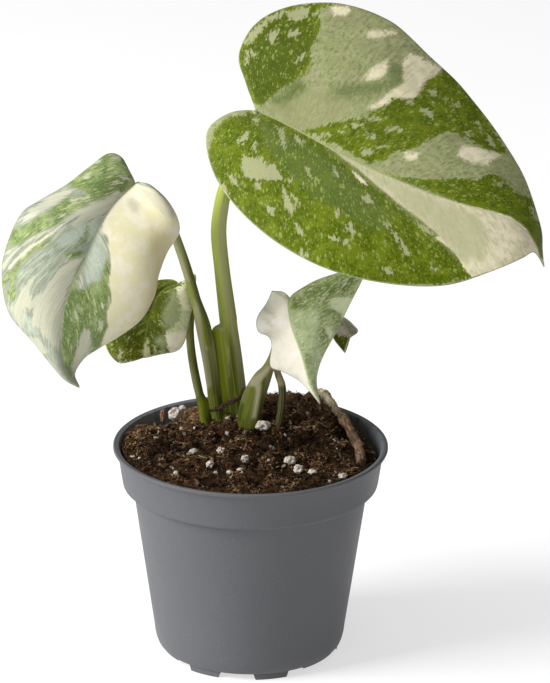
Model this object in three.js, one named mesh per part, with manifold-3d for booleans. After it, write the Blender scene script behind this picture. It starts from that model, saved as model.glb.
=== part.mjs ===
// A young Monstera deliciosa "Thai Constellation" in a 12 cm nursery pot.
// Millimetres, +Z up. X runs right, Y runs back, and every point below is measured from the pot's axis at the floor.
import * as THREE from "three";
import { mergeVertices } from "three/addons/utils/BufferGeometryUtils.js";
import Module from "manifold-3d";

const wasm = await Module();
wasm.setup();

// Pot
const POT_HEIGHT = 95.4;
const LIP_RADIUS = 60;
const COLLAR_TOP_RADIUS = 58;
const COLLAR_FOOT_RADIUS = 56;
const COLLAR_FOOT_HEIGHT = 79;
const WALL_TOP_RADIUS = 51.4;
const WALL_FOOT_RADIUS = 42.3;
const WALL_FOOT_HEIGHT = 11;
const WALL_THICKNESS = 1.3;
const FOOT_RING_RADIUS = 39.3;
const FOOT_RING_WIDTH = 2.3;
const FOOT_RING_HEIGHT = 3.4;
const FLOOR_THICKNESS = 1.6;
const POT_SIDES = 60;
const FEET_START_ANGLE = -7.5;
const WIDE_NOTCH_ANGLE = 20.7;
const NARROW_NOTCH_ANGLE = 10.4;
const NARROW_NOTCH_OFFSET = 39.2;
const DRAIN_RADIUS = 4;
const DRAIN_CIRCLE_RADIUS = 25;
const DRAIN_COUNT = 6;

// Soil
const SOIL_LEVEL = 95.5;
const SOIL_SIDES = 40;
const SOIL_RINGS = 9;

// Every piece keeps this gap to the one it touches
const CLEARANCE = 0.3;
const SOIL_GAP = 0.5;
const LEAF_THICKNESS = 0.7;
const STALK_SIDES = 10;

const colour = {
  pot: { color: 0x62666a, roughness: 0.55, metalness: 0 },
  soil: { color: 0x2c2018, roughness: 1, metalness: 0 },
  stalk: { color: 0x6f8c34, roughness: 0.5, metalness: 0 },
  leaf: { color: 0x8aa05a, roughness: 0.4, metalness: 0 },
  root: { color: 0x7d6850, roughness: 0.9, metalness: 0 },
  bark: { color: 0x4b3020, roughness: 0.95, metalness: 0 },
  perlite: { color: 0xd8d2c6, roughness: 0.9, metalness: 0 },
};

// A closed mesh as a solid, with vertices that lie together merged and its faces turned outwards.
function solidFrom(geometry) {
  const plain = new THREE.BufferGeometry();
  plain.setAttribute("position", geometry.getAttribute("position"));
  if (geometry.index) plain.setIndex(geometry.index);
  const merged = mergeVertices(plain, 1e-4);
  const position = merged.getAttribute("position");
  const corners = [];
  const index = merged.index.array;
  for (let i = 0; i < index.length; i += 3) {
    const [a, b, c] = [index[i], index[i + 1], index[i + 2]];
    if (a !== b && b !== c && c !== a) corners.push(a, b, c);
  }
  const corner = (i) => new THREE.Vector3().fromBufferAttribute(position, corners[i]);
  let sixVolumes = 0;
  for (let i = 0; i < corners.length; i += 3) {
    sixVolumes += corner(i).dot(corner(i + 1).cross(corner(i + 2)));
  }
  if (sixVolumes < 0) corners.reverse();
  return new wasm.Manifold(
    new wasm.Mesh({
      numProp: 3,
      vertProperties: new Float32Array(position.array),
      triVerts: new Uint32Array(corners),
    }),
  );
}

function geometryFrom(solid) {
  const mesh = solid.getMesh();
  const geometry = new THREE.BufferGeometry();
  geometry.setAttribute("position", new THREE.BufferAttribute(new Float32Array(mesh.vertProperties), 3));
  geometry.setIndex(new THREE.BufferAttribute(new Uint32Array(mesh.triVerts), 1));
  geometry.computeVertexNormals();
  return geometry;
}

function geometryOf(points, triangles) {
  const geometry = new THREE.BufferGeometry();
  geometry.setAttribute("position", new THREE.Float32BufferAttribute(points.flatMap((p) => p.toArray()), 3));
  geometry.setIndex(triangles.flat());
  return geometry;
}

// Rings of points joined into one closed skin, each end closed round a middle point.
function skinOverRings(rings) {
  const sides = rings[0].length;
  const points = rings.flat();
  const triangles = [];
  for (let r = 0; r + 1 < rings.length; r++) {
    for (let k = 0; k < sides; k++) {
      const next = (k + 1) % sides;
      const [a, b] = [r * sides + k, r * sides + next];
      triangles.push([a, b, b + sides], [a, b + sides, a + sides]);
    }
  }
  for (const [ring, turned] of [[0, true], [rings.length - 1, false]]) {
    const middle = points.length;
    const sum = rings[ring].reduce((total, p) => total.add(p), new THREE.Vector3());
    points.push(sum.divideScalar(sides));
    for (let k = 0; k < sides; k++) {
      const [a, b] = [ring * sides + k, ring * sides + ((k + 1) % sides)];
      triangles.push(turned ? [b, a, middle] : [a, b, middle]);
    }
  }
  return solidFrom(geometryOf(points, triangles));
}

// What stays of a piece after its neighbours are cut from it, without the scraps cut loose on the way.
function largestBody(solid) {
  return solid.decompose().reduce((best, body) => (body.volume() > best.volume() ? body : best));
}

function cutBy(solid, neighbours) {
  return largestBody(neighbours.reduce((rest, neighbour) => rest.subtract(neighbour), solid));
}

const smoothCurve = (points) => new THREE.CatmullRomCurve3(points, false, "catmullrom", 0.5);
const asVectors = (points) => points.map((p) => new THREE.Vector3(...p));
const radians = THREE.MathUtils.degToRad;

// The pot: one injection moulding, turned about its axis.
function potSolid() {
  const innerCollar = COLLAR_FOOT_RADIUS - WALL_THICKNESS;
  const profile = [
    [0, FOOT_RING_HEIGHT],
    [FOOT_RING_RADIUS - FOOT_RING_WIDTH, FOOT_RING_HEIGHT],
    [FOOT_RING_RADIUS - FOOT_RING_WIDTH, 0],
    [FOOT_RING_RADIUS, 0],
    [40.4, 4.4],
    [41.8, 7.6],
    [WALL_FOOT_RADIUS, WALL_FOOT_HEIGHT],
    [WALL_TOP_RADIUS, COLLAR_FOOT_HEIGHT - 3],
    [WALL_TOP_RADIUS + 0.4, COLLAR_FOOT_HEIGHT - 2.2],
    [COLLAR_FOOT_RADIUS - 0.8, COLLAR_FOOT_HEIGHT - 1.4],
    [COLLAR_FOOT_RADIUS, COLLAR_FOOT_HEIGHT],
    [COLLAR_TOP_RADIUS, POT_HEIGHT - 2.4],
    [LIP_RADIUS, POT_HEIGHT - 1.2],
    [LIP_RADIUS - 0.4, POT_HEIGHT],
    [COLLAR_TOP_RADIUS - 0.2, POT_HEIGHT],
    [COLLAR_TOP_RADIUS - WALL_THICKNESS, POT_HEIGHT - 2.2],
    [innerCollar, COLLAR_FOOT_HEIGHT + 0.4],
    [innerCollar - 0.8, COLLAR_FOOT_HEIGHT - 0.4],
    [WALL_TOP_RADIUS - WALL_THICKNESS + 0.3, COLLAR_FOOT_HEIGHT - 0.8],
    [WALL_TOP_RADIUS - WALL_THICKNESS, COLLAR_FOOT_HEIGHT - 3],
    [WALL_FOOT_RADIUS - WALL_THICKNESS, WALL_FOOT_HEIGHT],
    [39.6, FOOT_RING_HEIGHT + FLOOR_THICKNESS + 1.4],
    [38, FOOT_RING_HEIGHT + FLOOR_THICKNESS],
    [0, FOOT_RING_HEIGHT + FLOOR_THICKNESS],
  ].map(([radius, height]) => new THREE.Vector2(radius, height));
  const turned = new THREE.LatheGeometry(profile, POT_SIDES).rotateX(Math.PI / 2);
  let pot = solidFrom(turned);
  const notch = (angle, width) => {
    const chord = 2 * FOOT_RING_RADIUS * Math.sin(radians(width / 2));
    const box = new THREE.BoxGeometry(chord, 4 * FOOT_RING_WIDTH, FOOT_RING_HEIGHT);
    box.translate(0, -FOOT_RING_RADIUS, FOOT_RING_HEIGHT / 2 - 0.4);
    return solidFrom(box.rotateZ(radians(angle)));
  };
  for (let third = 0; third < 3; third++) {
    const middle = FEET_START_ANGLE + 120 * third;
    pot = pot.subtract(notch(middle, WIDE_NOTCH_ANGLE));
    pot = pot.subtract(notch(middle - NARROW_NOTCH_OFFSET, NARROW_NOTCH_ANGLE));
    pot = pot.subtract(notch(middle + NARROW_NOTCH_OFFSET, NARROW_NOTCH_ANGLE));
  }
  for (let hole = 0; hole < DRAIN_COUNT; hole++) {
    const drain = new THREE.CylinderGeometry(DRAIN_RADIUS, DRAIN_RADIUS, 4 * FLOOR_THICKNESS, 16);
    drain.rotateX(Math.PI / 2).translate(DRAIN_CIRCLE_RADIUS, 0, FOOT_RING_HEIGHT + FLOOR_THICKNESS / 2);
    pot = pot.subtract(solidFrom(drain.rotateZ((2 * Math.PI * hole) / DRAIN_COUNT)));
  }
  return pot;
}

// The soil meets the wall lower on the right and at the back left. It is heaped up towards the back right, and
// again under the top of the aerial root.
const SOIL_EDGE_RADIUS = COLLAR_TOP_RADIUS - WALL_THICKNESS - CLEARANCE - 0.2;
const dips = [
  { angle: 12, spread: 28, depth: 7.5 },
  { angle: 165, spread: 26, depth: 8 },
  { angle: 90, spread: 60, depth: 1 },
];

const mounds = [
  { x: 16, y: 29, spreadX: 32, spreadY: 33, height: 10.5 },
  { x: 31, y: 40, spreadX: 9, spreadY: 9, height: 4.5 },
];

function soilHeight(x, y) {
  const share = Math.min(1, Math.hypot(x, y) / SOIL_EDGE_RADIUS);
  const angle = THREE.MathUtils.radToDeg(Math.atan2(y, x));
  let edge = SOIL_LEVEL - 0.5;
  for (const dip of dips) {
    const away = THREE.MathUtils.euclideanModulo(angle - dip.angle + 180, 360) - 180;
    edge -= dip.depth * Math.exp(-((away / dip.spread) ** 2));
  }
  let heaped = 0.7 * Math.sin(0.31 * x + 1.3) * Math.cos(0.37 * y) + 0.5 * Math.sin(0.53 * (x + y));
  for (const mound of mounds) {
    const [across, along] = [(x - mound.x) / mound.spreadX, (y - mound.y) / mound.spreadY];
    heaped += mound.height * Math.exp(-(across ** 2) - along ** 2);
  }
  return SOIL_LEVEL + (edge - SOIL_LEVEL) * share ** 4 + heaped * (1 - share ** 12);
}

function soilSolid() {
  const wallAt = (height) => {
    const gap = CLEARANCE + 0.2;
    if (height > COLLAR_FOOT_HEIGHT + 0.4) {
      const up = (height - COLLAR_FOOT_HEIGHT) / (POT_HEIGHT - 2.4 - COLLAR_FOOT_HEIGHT);
      const slope = COLLAR_TOP_RADIUS - COLLAR_FOOT_RADIUS;
      return Math.min(SOIL_EDGE_RADIUS, COLLAR_FOOT_RADIUS + slope * up - WALL_THICKNESS - gap);
    }
    const up = (height - WALL_FOOT_HEIGHT) / (COLLAR_FOOT_HEIGHT - 3 - WALL_FOOT_HEIGHT);
    return WALL_FOOT_RADIUS + (WALL_TOP_RADIUS - WALL_FOOT_RADIUS) * up - WALL_THICKNESS - gap;
  };
  const ring = (radiusAt, heightAt) =>
    Array.from({ length: SOIL_SIDES }, (_, k) => {
      const angle = (2 * Math.PI * k) / SOIL_SIDES;
      const radius = radiusAt(angle);
      const [x, y] = [radius * Math.cos(angle), radius * Math.sin(angle)];
      return new THREE.Vector3(x, y, heightAt(x, y));
    });
  const floor = FOOT_RING_HEIGHT + FLOOR_THICKNESS + CLEARANCE;
  const rings = [
    ring(() => 36, () => floor),
    ring(() => WALL_FOOT_RADIUS - WALL_THICKNESS - 1.6, () => floor + 3.2),
    ring(() => wallAt(WALL_FOOT_HEIGHT), () => WALL_FOOT_HEIGHT),
    ring(() => wallAt(COLLAR_FOOT_HEIGHT - 3), () => COLLAR_FOOT_HEIGHT - 3),
    ring(() => wallAt(COLLAR_FOOT_HEIGHT - 3), () => COLLAR_FOOT_HEIGHT + 1),
    ring(() => wallAt(COLLAR_FOOT_HEIGHT + 1), () => COLLAR_FOOT_HEIGHT + 1.4),
  ];
  const rimHeight = (angle) =>
    soilHeight(SOIL_EDGE_RADIUS * Math.cos(angle), SOIL_EDGE_RADIUS * Math.sin(angle));
  for (let step = SOIL_RINGS; step > 0; step--) {
    rings.push(ring((angle) => (wallAt(rimHeight(angle)) * step) / SOIL_RINGS, soilHeight));
  }
  return skinOverRings(rings);
}

// A leaf blade. Each half is ruled from the midrib to its margin, and bows out halfway by its swell or through a
// halfway line of its own. All of its side veins fan from where the stalk joins.
const leaves = {
  leaf_1: {
    fan: 2,
    rows: 26,
    columns: 6,
    rib: [
      [1.5, 12, 242.5], [20, 5.5, 235.5], [44, -4.5, 225], [77, -11.5, 213], [101, -12, 205.5],
      [111.5, -11.5, 201], [118.5, -12.5, 194.5], [122, -14, 189], [124, -16, 183],
    ],
    left: [
      [1.5, 12, 242.5], [-3.5, 25.5, 252.5], [-6, 37, 261.5], [2, 52, 271], [18, 62, 276],
      [38.5, 63.5, 276], [59, 58.5, 270], [74.5, 48.5, 258.5], [88, 41.5, 247.5], [103, 28, 232],
      [113.5, 15.5, 218.5], [119, 7, 207.5], [123, -2, 195.5], [123.5, -9.5, 188.5], [124, -16, 183],
    ],
    right: [
      [1.5, 12, 242.5], [-9, 12, 241.5], [-18, 8.5, 236.5], [-19.5, 2, 229.5], [-14.5, -10.5, 218],
      [-2.5, -22, 206], [14, -32.5, 196], [34.5, -40.5, 188.5], [58, -41.5, 183.5], [81, -38.5, 182],
      [100, -32.5, 186], [113, -24.5, 189], [119.5, -16.5, 189.5], [124, -16, 183],
    ],
    swell: { left: [0.5, -3.6, 4.1], right: [0.4, -2.6, 3] },
  },
  leaf_2: {
    fan: 1.7,
    rows: 26,
    columns: 6,
    rib: [
      [-49.5, -2, 214], [-57.5, -13, 209], [-63.5, -20, 201.5], [-69, -25, 189.5], [-75, -27, 178],
      [-79.5, -28, 164], [-80.5, -26, 148.5], [-78.5, -21, 135], [-73.5, -17, 127],
    ],
    left: [
      [-49.5, -2, 214], [-52.5, 2, 218.5], [-56, 4, 224], [-61.5, 3, 225.5], [-68.5, -2, 221.5],
      [-78.5, -8, 215], [-89.5, -13, 209.5], [-96.5, -17, 205.5], [-102, -19, 195], [-105.5, -18, 180],
      [-103, -19, 162], [-92.5, -21, 149], [-83.5, -21, 137], [-79, -19, 131], [-73.5, -17, 127],
    ],
    right: [
      [-49.5, -2, 214], [-44.5, 1, 209], [-39.5, 5, 201], [-36.5, 7, 191.5], [-39, 6, 182.5],
      [-42.5, 4, 173.5], [-44.5, 1, 164.5], [-48.5, -4, 156], [-57, -8, 149], [-64.5, -11, 144.5],
      [-71.5, -13, 139], [-75.5, -16, 133], [-73.5, -17, 127],
    ],
    rightHalfway: [
      [-49.5, -2, 214], [-44.5, -8, 213.5], [-37, -15, 208.5], [-32.5, -17, 199.5], [-38.5, -20, 191.5],
      [-42, -23, 182.5], [-44, -24, 174], [-50, -24, 164], [-59, -23, 155.5], [-66.5, -22, 149],
      [-73, -21, 143], [-77, -19, 135.5], [-73.5, -17, 127],
    ],
    swell: { left: [0, -6, 1] },
  },
  leaf_3: {
    fan: 1.4,
    rows: 20,
    columns: 4,
    rib: [
      [-31.5, 22, 161], [-37.5, 17, 160.5], [-42, 12.5, 156.5], [-45, 10.5, 147], [-47, 12, 135.5],
      [-47.5, 16, 129], [-48, 21, 128], [-48.5, 25, 131],
    ],
    left: [
      [-31.5, 22, 161], [-35.5, 23, 162.5], [-43.5, 20, 162.5], [-51, 16, 160], [-57.5, 12, 154],
      [-63, 10, 143.5], [-63, 11, 135], [-58.5, 14, 127.5], [-53.5, 19, 126], [-50.5, 23, 128],
      [-48.5, 25, 131],
    ],
    right: [
      [-31.5, 22, 161], [-28.5, 21.5, 162.5], [-24.5, 20.5, 165.5], [-25.5, 18.5, 154.5],
      [-27.5, 17, 145], [-29.5, 17, 136], [-33, 19, 131], [-40, 22.5, 128.5], [-45.5, 25, 128],
      [-48.5, 25, 131],
    ],
    swell: { left: [-1, -3, 0], right: [0, -4, 0] },
  },
  leaf_4: {
    fan: 1.6,
    rows: 22,
    columns: 5,
    rib: [
      [16.5, 9, 159.5], [16, 4.5, 156.5], [18, 0, 148], [21.5, -4, 139.5], [25, -6.5, 128.5],
      [30, -7, 116.5],
    ],
    left: [
      [16.5, 9, 159.5], [13.5, 12, 161], [9, 13, 161], [6.5, 10, 156.5], [2.5, 6, 151], [3, 5, 145.5],
      [7.5, 8, 142], [9, 9, 137.5], [8.5, 6, 129], [14, 2, 128], [21, -2, 125.5], [25.5, -5.5, 122],
      [30, -7, 116.5],
    ],
    right: [
      [16.5, 9, 159.5], [19.5, 11, 161.5], [28, 16, 165], [37, 20, 167], [45, 23, 168.5],
      [49.5, 24, 168.5], [48, 22.5, 163.5], [43, 18, 154.5], [37, 11, 144], [31, 4, 134.5],
      [28.5, -1, 128], [28.5, -4.5, 123], [30, -7, 116.5],
    ],
    swell: { left: [0, -1, 0], right: [0, -3, 1] },
  },
  leaf_5: {
    fan: 1.5,
    rows: 12,
    columns: 3,
    rib: [[38, 26, 145.5], [40.5, 24, 143], [42.5, 23.5, 139], [42.5, 24, 134.5], [41, 25, 128.5]],
    left: [[38, 26, 145.5], [35.5, 27.5, 140.5], [36, 28, 134.5], [41, 25, 128.5]],
    right: [
      [38, 26, 145.5], [41, 23, 145.5], [44.5, 20, 143.5], [46.5, 19, 140.5], [43, 23, 136],
      [41, 25, 128.5],
    ],
    swell: { left: [0, -0.5, 0], right: [0, -1, 0] },
  },
};

function leafSurface(leaf) {
  const ribCurve = smoothCurve(asVectors(leaf.rib));
  const half = (side) => {
    const margin = smoothCurve(asVectors(leaf[side]));
    const halfway = leaf[side + "Halfway"] && smoothCurve(asVectors(leaf[side + "Halfway"]));
    const swell = leaf.swell[side] && new THREE.Vector3(...leaf.swell[side]);
    return (along, across) => {
      const inner = ribCurve.getPointAt(along ** leaf.fan);
      const outer = margin.getPointAt(along);
      const middle = halfway
        ? halfway.getPointAt(along)
        : inner.clone().lerp(outer, 0.5).addScaledVector(swell, Math.sin(Math.PI * along));
      return new THREE.Vector3()
        .addScaledVector(inner, (1 - across) * (1 - 2 * across))
        .addScaledVector(middle, 4 * across * (1 - across))
        .addScaledVector(outer, across * (2 * across - 1));
    };
  };
  const [left, right] = [half("left"), half("right")];
  return (along, side) => (side < 0 ? left(along, -side) : right(along, side));
}

function leafSolid(leaf) {
  const surface = leafSurface(leaf);
  const width = 2 * leaf.columns + 1;
  const points = [surface(0, 0)];
  for (let row = 1; row < leaf.rows; row++) {
    for (let column = 0; column < width; column++) {
      points.push(surface(row / leaf.rows, column / leaf.columns - 1));
    }
  }
  points.push(surface(1, 0));
  const tip = points.length - 1;
  const at = (row, column) => 1 + (row - 1) * width + column;
  const faces = [];
  for (let column = 0; column + 1 < width; column++) {
    faces.push([0, at(1, column), at(1, column + 1)]);
    faces.push([at(leaf.rows - 1, column), tip, at(leaf.rows - 1, column + 1)]);
    for (let row = 1; row + 1 < leaf.rows; row++) {
      const [a, b] = [at(row, column), at(row, column + 1)];
      const [c, d] = [at(row + 1, column), at(row + 1, column + 1)];
      if (column < leaf.columns) faces.push([a, c, d], [a, d, b]);
      else faces.push([a, c, b], [b, c, d]);
    }
  }
  const normals = points.map(() => new THREE.Vector3());
  for (const [a, b, c] of faces) {
    const edge = points[b].clone().sub(points[a]);
    const facing = edge.cross(points[c].clone().sub(points[a]));
    for (const corner of [a, b, c]) normals[corner].add(facing);
  }
  const shifted = (distance) =>
    points.map((p, i) => p.clone().addScaledVector(normals[i].clone().normalize(), distance));
  const skin = [...shifted(LEAF_THICKNESS / 2), ...shifted(-LEAF_THICKNESS / 2)];
  const under = points.length;
  const triangles = [...faces];
  for (const [a, b, c] of faces) triangles.push([c + under, b + under, a + under]);
  const edge = [0];
  for (let row = 1; row < leaf.rows; row++) edge.push(at(row, 0));
  edge.push(tip);
  for (let row = leaf.rows - 1; row > 0; row--) edge.push(at(row, width - 1));
  edge.forEach((a, i) => {
    const b = edge[(i + 1) % edge.length];
    triangles.push([b, a, a + under], [b, a + under, b + under]);
  });
  return solidFrom(geometryOf(skin, triangles));
}

// A stalk, stem or root: stations give the place of its middle, its half width across the view, its half depth,
// and how far a thin wing of the sheath stands out to the left, or to the right where that is negative.
const stalks = {
  petiole_1: [
    [-1.5, 16.5, 88, 3, 3, 0], [-4.5, 18, 98, 3.8, 3.3, 2.6], [-5.6, 19, 109, 3.9, 3.5, 3],
    [-6.5, 19, 117.5, 3.8, 3.4, 3.4], [-8, 18.5, 129.5, 3.7, 3.3, 2.9], [-9.5, 18.5, 139.5, 3.6, 3.2, 1],
    [-10.5, 18.5, 150.5, 3.5, 3.1, 0], [-13, 18.5, 169, 3.4, 3, 0], [-14.5, 18.5, 185.5, 3.4, 3, 0],
    [-13.5, 18.5, 197, 3.3, 2.9, 0], [-11.5, 18, 206.5, 3.1, 2.8, 0], [-7, 17.5, 219, 2.8, 2.6, 0],
    [-2, 16, 231.5, 2.6, 2.5, 0], [1.5, 12.5, 242, 2.5, 2.4, 0],
  ],
  petiole_2: [
    [-10.5, 17.5, 88, 2.4, 2.4, 0], [-14, 17.5, 98, 2.5, 2.4, 0], [-15.5, 17, 108, 2.4, 2.2, 0.9],
    [-16.5, 16.5, 116, 2.4, 2.2, 0], [-17.5, 15.5, 129, 2.4, 2.2, 0], [-20, 14.5, 144, 2.4, 2.1, 0],
    [-24.5, 13.5, 157.5, 2.2, 2.1, 0], [-28.5, 14, 171.5, 2.2, 2, 0], [-32.5, 14.5, 183.5, 2.1, 2, 0],
    [-36, 13.5, 193.5, 2, 2, 0], [-41, 10, 201.5, 1.9, 1.9, 0], [-45.5, 4.5, 208.5, 1.8, 1.8, 0],
    [-49, -1.5, 213.5, 1.7, 1.7, 0],
  ],
  petiole_3: [
    [-14.5, 19, 86, 1.8, 1.8, 0], [-17.5, 19.5, 93, 1.9, 1.8, 0], [-20.5, 19.5, 98.5, 1.9, 1.7, -1.2],
    [-22, 19.5, 105, 1.8, 1.7, -1.6], [-23, 19.5, 111.5, 1.7, 1.6, 0], [-26, 20, 126, 1.6, 1.5, 0],
    [-27.5, 20.5, 138.5, 1.5, 1.4, 0], [-26.5, 21.5, 149, 1.4, 1.4, 0], [-26.5, 23, 155, 1.3, 1.3, 0],
    [-28, 24, 158.5, 1.2, 1.2, 0], [-31.5, 22.5, 161, 1.2, 1.2, 0],
  ],
  petiole_4: [
    [4, 12.5, 88, 2.4, 2.2, 0], [2, 10, 96, 2.8, 2.2, 1.5], [0.5, 8, 100.5, 3, 2.2, 3.5],
    [3, 8.5, 111.5, 2.8, 2, 4.5], [6, 9.5, 121, 2.5, 1.8, 3.2], [8, 10.5, 127, 2.2, 1.7, 0.6],
    [10, 12, 133, 1.9, 1.6, 0], [12, 13, 142, 1.7, 1.5, 0], [14.5, 13, 150.5, 1.5, 1.4, 0],
    [16.5, 9.5, 159, 1.4, 1.4, 0],
  ],
  petiole_5: [
    [10, 10, 86, 1.7, 1.7, 0], [11, 7.5, 94, 1.8, 1.7, 0], [12, 6.5, 100, 1.8, 1.7, 0],
    [13.5, 8, 110, 1.7, 1.6, 0], [13.5, 10, 118, 1.7, 1.6, 0], [11.5, 13, 123.5, 1.5, 1.5, 0],
    [10, 16.5, 130, 1.4, 1.4, 0], [11, 20, 137.5, 1.3, 1.3, 0], [15, 24, 144, 1.2, 1.2, 0],
    [22, 27, 148.5, 1.1, 1.1, 0], [30, 28.8, 149.5, 1.1, 1.1, 0], [35, 28.3, 148, 1, 1, 0],
    [38.5, 25.8, 145, 1, 1, 0],
  ],
  stem_base: [
    [-17, 20, 83, 4, 4, 0], [-13, 19, 84.5, 5, 5, 0], [-4, 17.5, 86, 5.5, 5.5, 0],
    [5, 12.5, 86, 5.3, 5.3, 0], [11, 9.5, 84.5, 4.6, 4.6, 0], [13, 8.5, 83.5, 3.4, 3.4, 0],
  ],
  aerial_root: [
    [28.5, 44, 98, 1.8, 1.8, 0], [29.9, 42, 102.3, 2.2, 1.8, 0], [31.7, 38, 103.9, 2.4, 1.8, 0],
    [34.3, 33, 102.6, 2.4, 1.7, 0], [37.1, 27.5, 100.2, 2.3, 1.6, 0], [40.2, 21, 97.9, 2.4, 1.6, 0],
    [43.4, 13, 95.8, 2, 1.6, 0], [45.9, 3, 94.6, 2.2, 1.6, 0], [47.6, -9, 93.6, 2.1, 1.5, 0],
    [47.6, -17.5, 93, 1.9, 1.4, 0], [45.5, -24, 90, 1.5, 1.3, 0],
  ],
  twig: [
    [-18.2, 13.6, 104.9, 0.6, 0.6, 0], [-14.2, 13.95, 105.9, 0.9, 0.8, 0], [-10, 14.3, 108.9, 0.9, 0.9, 0],
    [-2.2, 14.6, 112.7, 0.8, 0.8, 0], [1, 14.6, 113.7, 0.5, 0.5, 0],
  ],
};

const feedingRoots = [
  [[-14, 19, 84], [-22, 24, 70], [-27, 27, 52], [-26, 26, 34]],
  [[-6, 18, 84], [-9, 28, 66], [-6, 34, 46], [-3, 33, 26]],
  [[0, 16, 84], [4, 6, 66], [2, -8, 48], [-4, -20, 34]],
  [[8, 11, 84], [20, 4, 68], [30, -4, 50], [31, -10, 36]],
];

function stalkSolid(stations, { grow = 0, sides = STALK_SIDES, steps = Math.round(1.5 * stations.length) } = {}) {
  const line = smoothCurve(asVectors(stations));
  const sizes = smoothCurve(stations.map((s) => new THREE.Vector3(s[3], s[4], s[5])));
  const depthAxis = new THREE.Vector3(0, 1, 0);
  const rings = [];
  for (let step = 0; step <= steps; step++) {
    const share = step / steps;
    const middle = line.getPoint(share);
    const [halfWidth, halfDepth, wing] = sizes.getPoint(share).toArray();
    const forward = line.getTangent(share);
    if (step === 0) middle.addScaledVector(forward, -grow);
    if (step === steps) middle.addScaledVector(forward, grow);
    const side = depthAxis.clone().cross(forward).normalize();
    const depth = forward.clone().cross(side);
    const ring = [];
    for (let k = 0; k < sides; k++) {
      const angle = (2 * Math.PI * k) / sides;
      const across = Math.cos(angle);
      const wingHere = across * wing < 0 ? Math.abs(wing) * Math.abs(across) ** 3 : 0;
      const reach = Math.abs(across) * (halfWidth + grow) + wingHere;
      ring.push(
        middle
          .clone()
          .addScaledVector(side, Math.sign(across) * reach)
          .addScaledVector(depth, Math.sin(angle) * (halfDepth + grow)),
      );
    }
    rings.push(ring);
  }
  return skinOverRings(rings);
}

function stemBaseSolid(grow) {
  const stem = stalkSolid(stalks.stem_base, { grow, steps: 8 });
  return feedingRoots.reduce((whole, root) => {
    const stations = root.map(([x, y, z], i) => [x, y, z, 1.6 - 0.3 * i, 1.6 - 0.3 * i, 0]);
    return whole.add(stalkSolid(stations, { grow, sides: 6, steps: 6 }));
  }, stem);
}

// Perlite: puffed white grains half sunk in the soil, each with its own place and half sizes.
const perlite = [
  [-33.8, 34, 95.5, 3.2, 3, 3.6],
  [-30.9, 43.5, 94.6, 2, 1.6, 1.4],
  [5.4, 3.6, 102.2, 3.4, 2.8, 2.4],
  [-2.2, -21.9, 96.6, 1.9, 1.8, 2],
  [17.2, -23.1, 96.7, 2.6, 2, 2.2],
  [20.8, -32.1, 96.2, 2.2, 2, 2.3],
  [26.8, -34.8, 95.9, 2, 1.6, 1.5],
  [39.6, -36.8, 95.2, 2, 1.5, 1.4],
  [-51, -14.2, 93.4, 1.5, 1.4, 1.3],
  [-12.7, -10.6, 97.2, 1.9, 1.7, 1.6],
  [-17.2, -23.8, 96, 1.9, 1.8, 1.8],
];
const woodChip = [-39.6, 36.6, 93.2, 1.4, 1.5, 3.4];

let seed = 7;
function random() {
  seed = (seed * 16807) % 2147483647;
  return seed / 2147483647;
}

function lumpSolids([x, y, z, halfX, halfY, halfZ]) {
  const ball = mergeVertices(new THREE.IcosahedronGeometry(1, 1).deleteAttribute("normal").deleteAttribute("uv"));
  const position = ball.getAttribute("position");
  const corner = new THREE.Vector3();
  for (let i = 0; i < position.count; i++) {
    corner.fromBufferAttribute(position, i).multiplyScalar(0.88 + 0.2 * random());
    position.setXYZ(i, corner.x, corner.y, corner.z);
  }
  const placed = (grow) =>
    solidFrom(ball.clone().scale(halfX + grow, halfY + grow, halfZ + grow).translate(x, y, z));
  return { solid: placed(0), hollow: placed(CLEARANCE) };
}

// The room a blade leaves free round itself where its stalk ends: the blade moved a little each way, and a ball
// where its two sides run together.
function bladeHollow(blade, junction) {
  const reach = Math.sqrt(3) * CLEARANCE;
  const moves = [[reach, 0, 0], [-reach, 0, 0], [0, reach, 0], [0, -reach, 0], [0, 0, reach], [0, 0, -reach]];
  const ball = solidFrom(new THREE.IcosahedronGeometry(1.4, 1).translate(...junction));
  return moves.reduce((room, move) => room.add(blade.translate(move)), blade.add(ball));
}

const pieces = new Map();
pieces.set("pot", { solid: potSolid(), finish: colour.pot });

for (const [name, leaf] of Object.entries(leaves)) {
  pieces.set(name, { solid: leafSolid(leaf), finish: colour.leaf });
}

const stemHollow = stemBaseSolid(CLEARANCE);
const hollows = [stemHollow];
pieces.set("stem_base", { solid: stemBaseSolid(0), finish: colour.root });

for (let number = 1; number <= 5; number++) {
  const stations = stalks["petiole_" + number];
  const leafName = "leaf_" + number;
  const blade = bladeHollow(pieces.get(leafName).solid, leaves[leafName].rib[0]);
  const solid = cutBy(stalkSolid(stations), [stemHollow, blade]);
  hollows.push(stalkSolid(stations, { grow: SOIL_GAP }));
  pieces.set("petiole_" + number, { solid, finish: colour.stalk });
}

pieces.set("aerial_root", { solid: stalkSolid(stalks.aerial_root, { sides: 8 }), finish: colour.root });
hollows.push(stalkSolid(stalks.aerial_root, { sides: 8, grow: SOIL_GAP }));
pieces.set("twig", { solid: stalkSolid(stalks.twig, { sides: 6 }), finish: colour.bark });
hollows.push(stalkSolid(stalks.twig, { sides: 6, grow: SOIL_GAP }));

perlite.forEach((grain, i) => {
  const { solid, hollow } = lumpSolids(grain);
  pieces.set("perlite_" + (i + 1), { solid, finish: colour.perlite });
  hollows.push(hollow);
});
const chip = lumpSolids(woodChip);
pieces.set("wood_chip", { solid: chip.solid, finish: colour.bark });
hollows.push(chip.hollow);

pieces.set("soil", { solid: cutBy(soilSolid(), hollows), finish: colour.soil });

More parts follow.
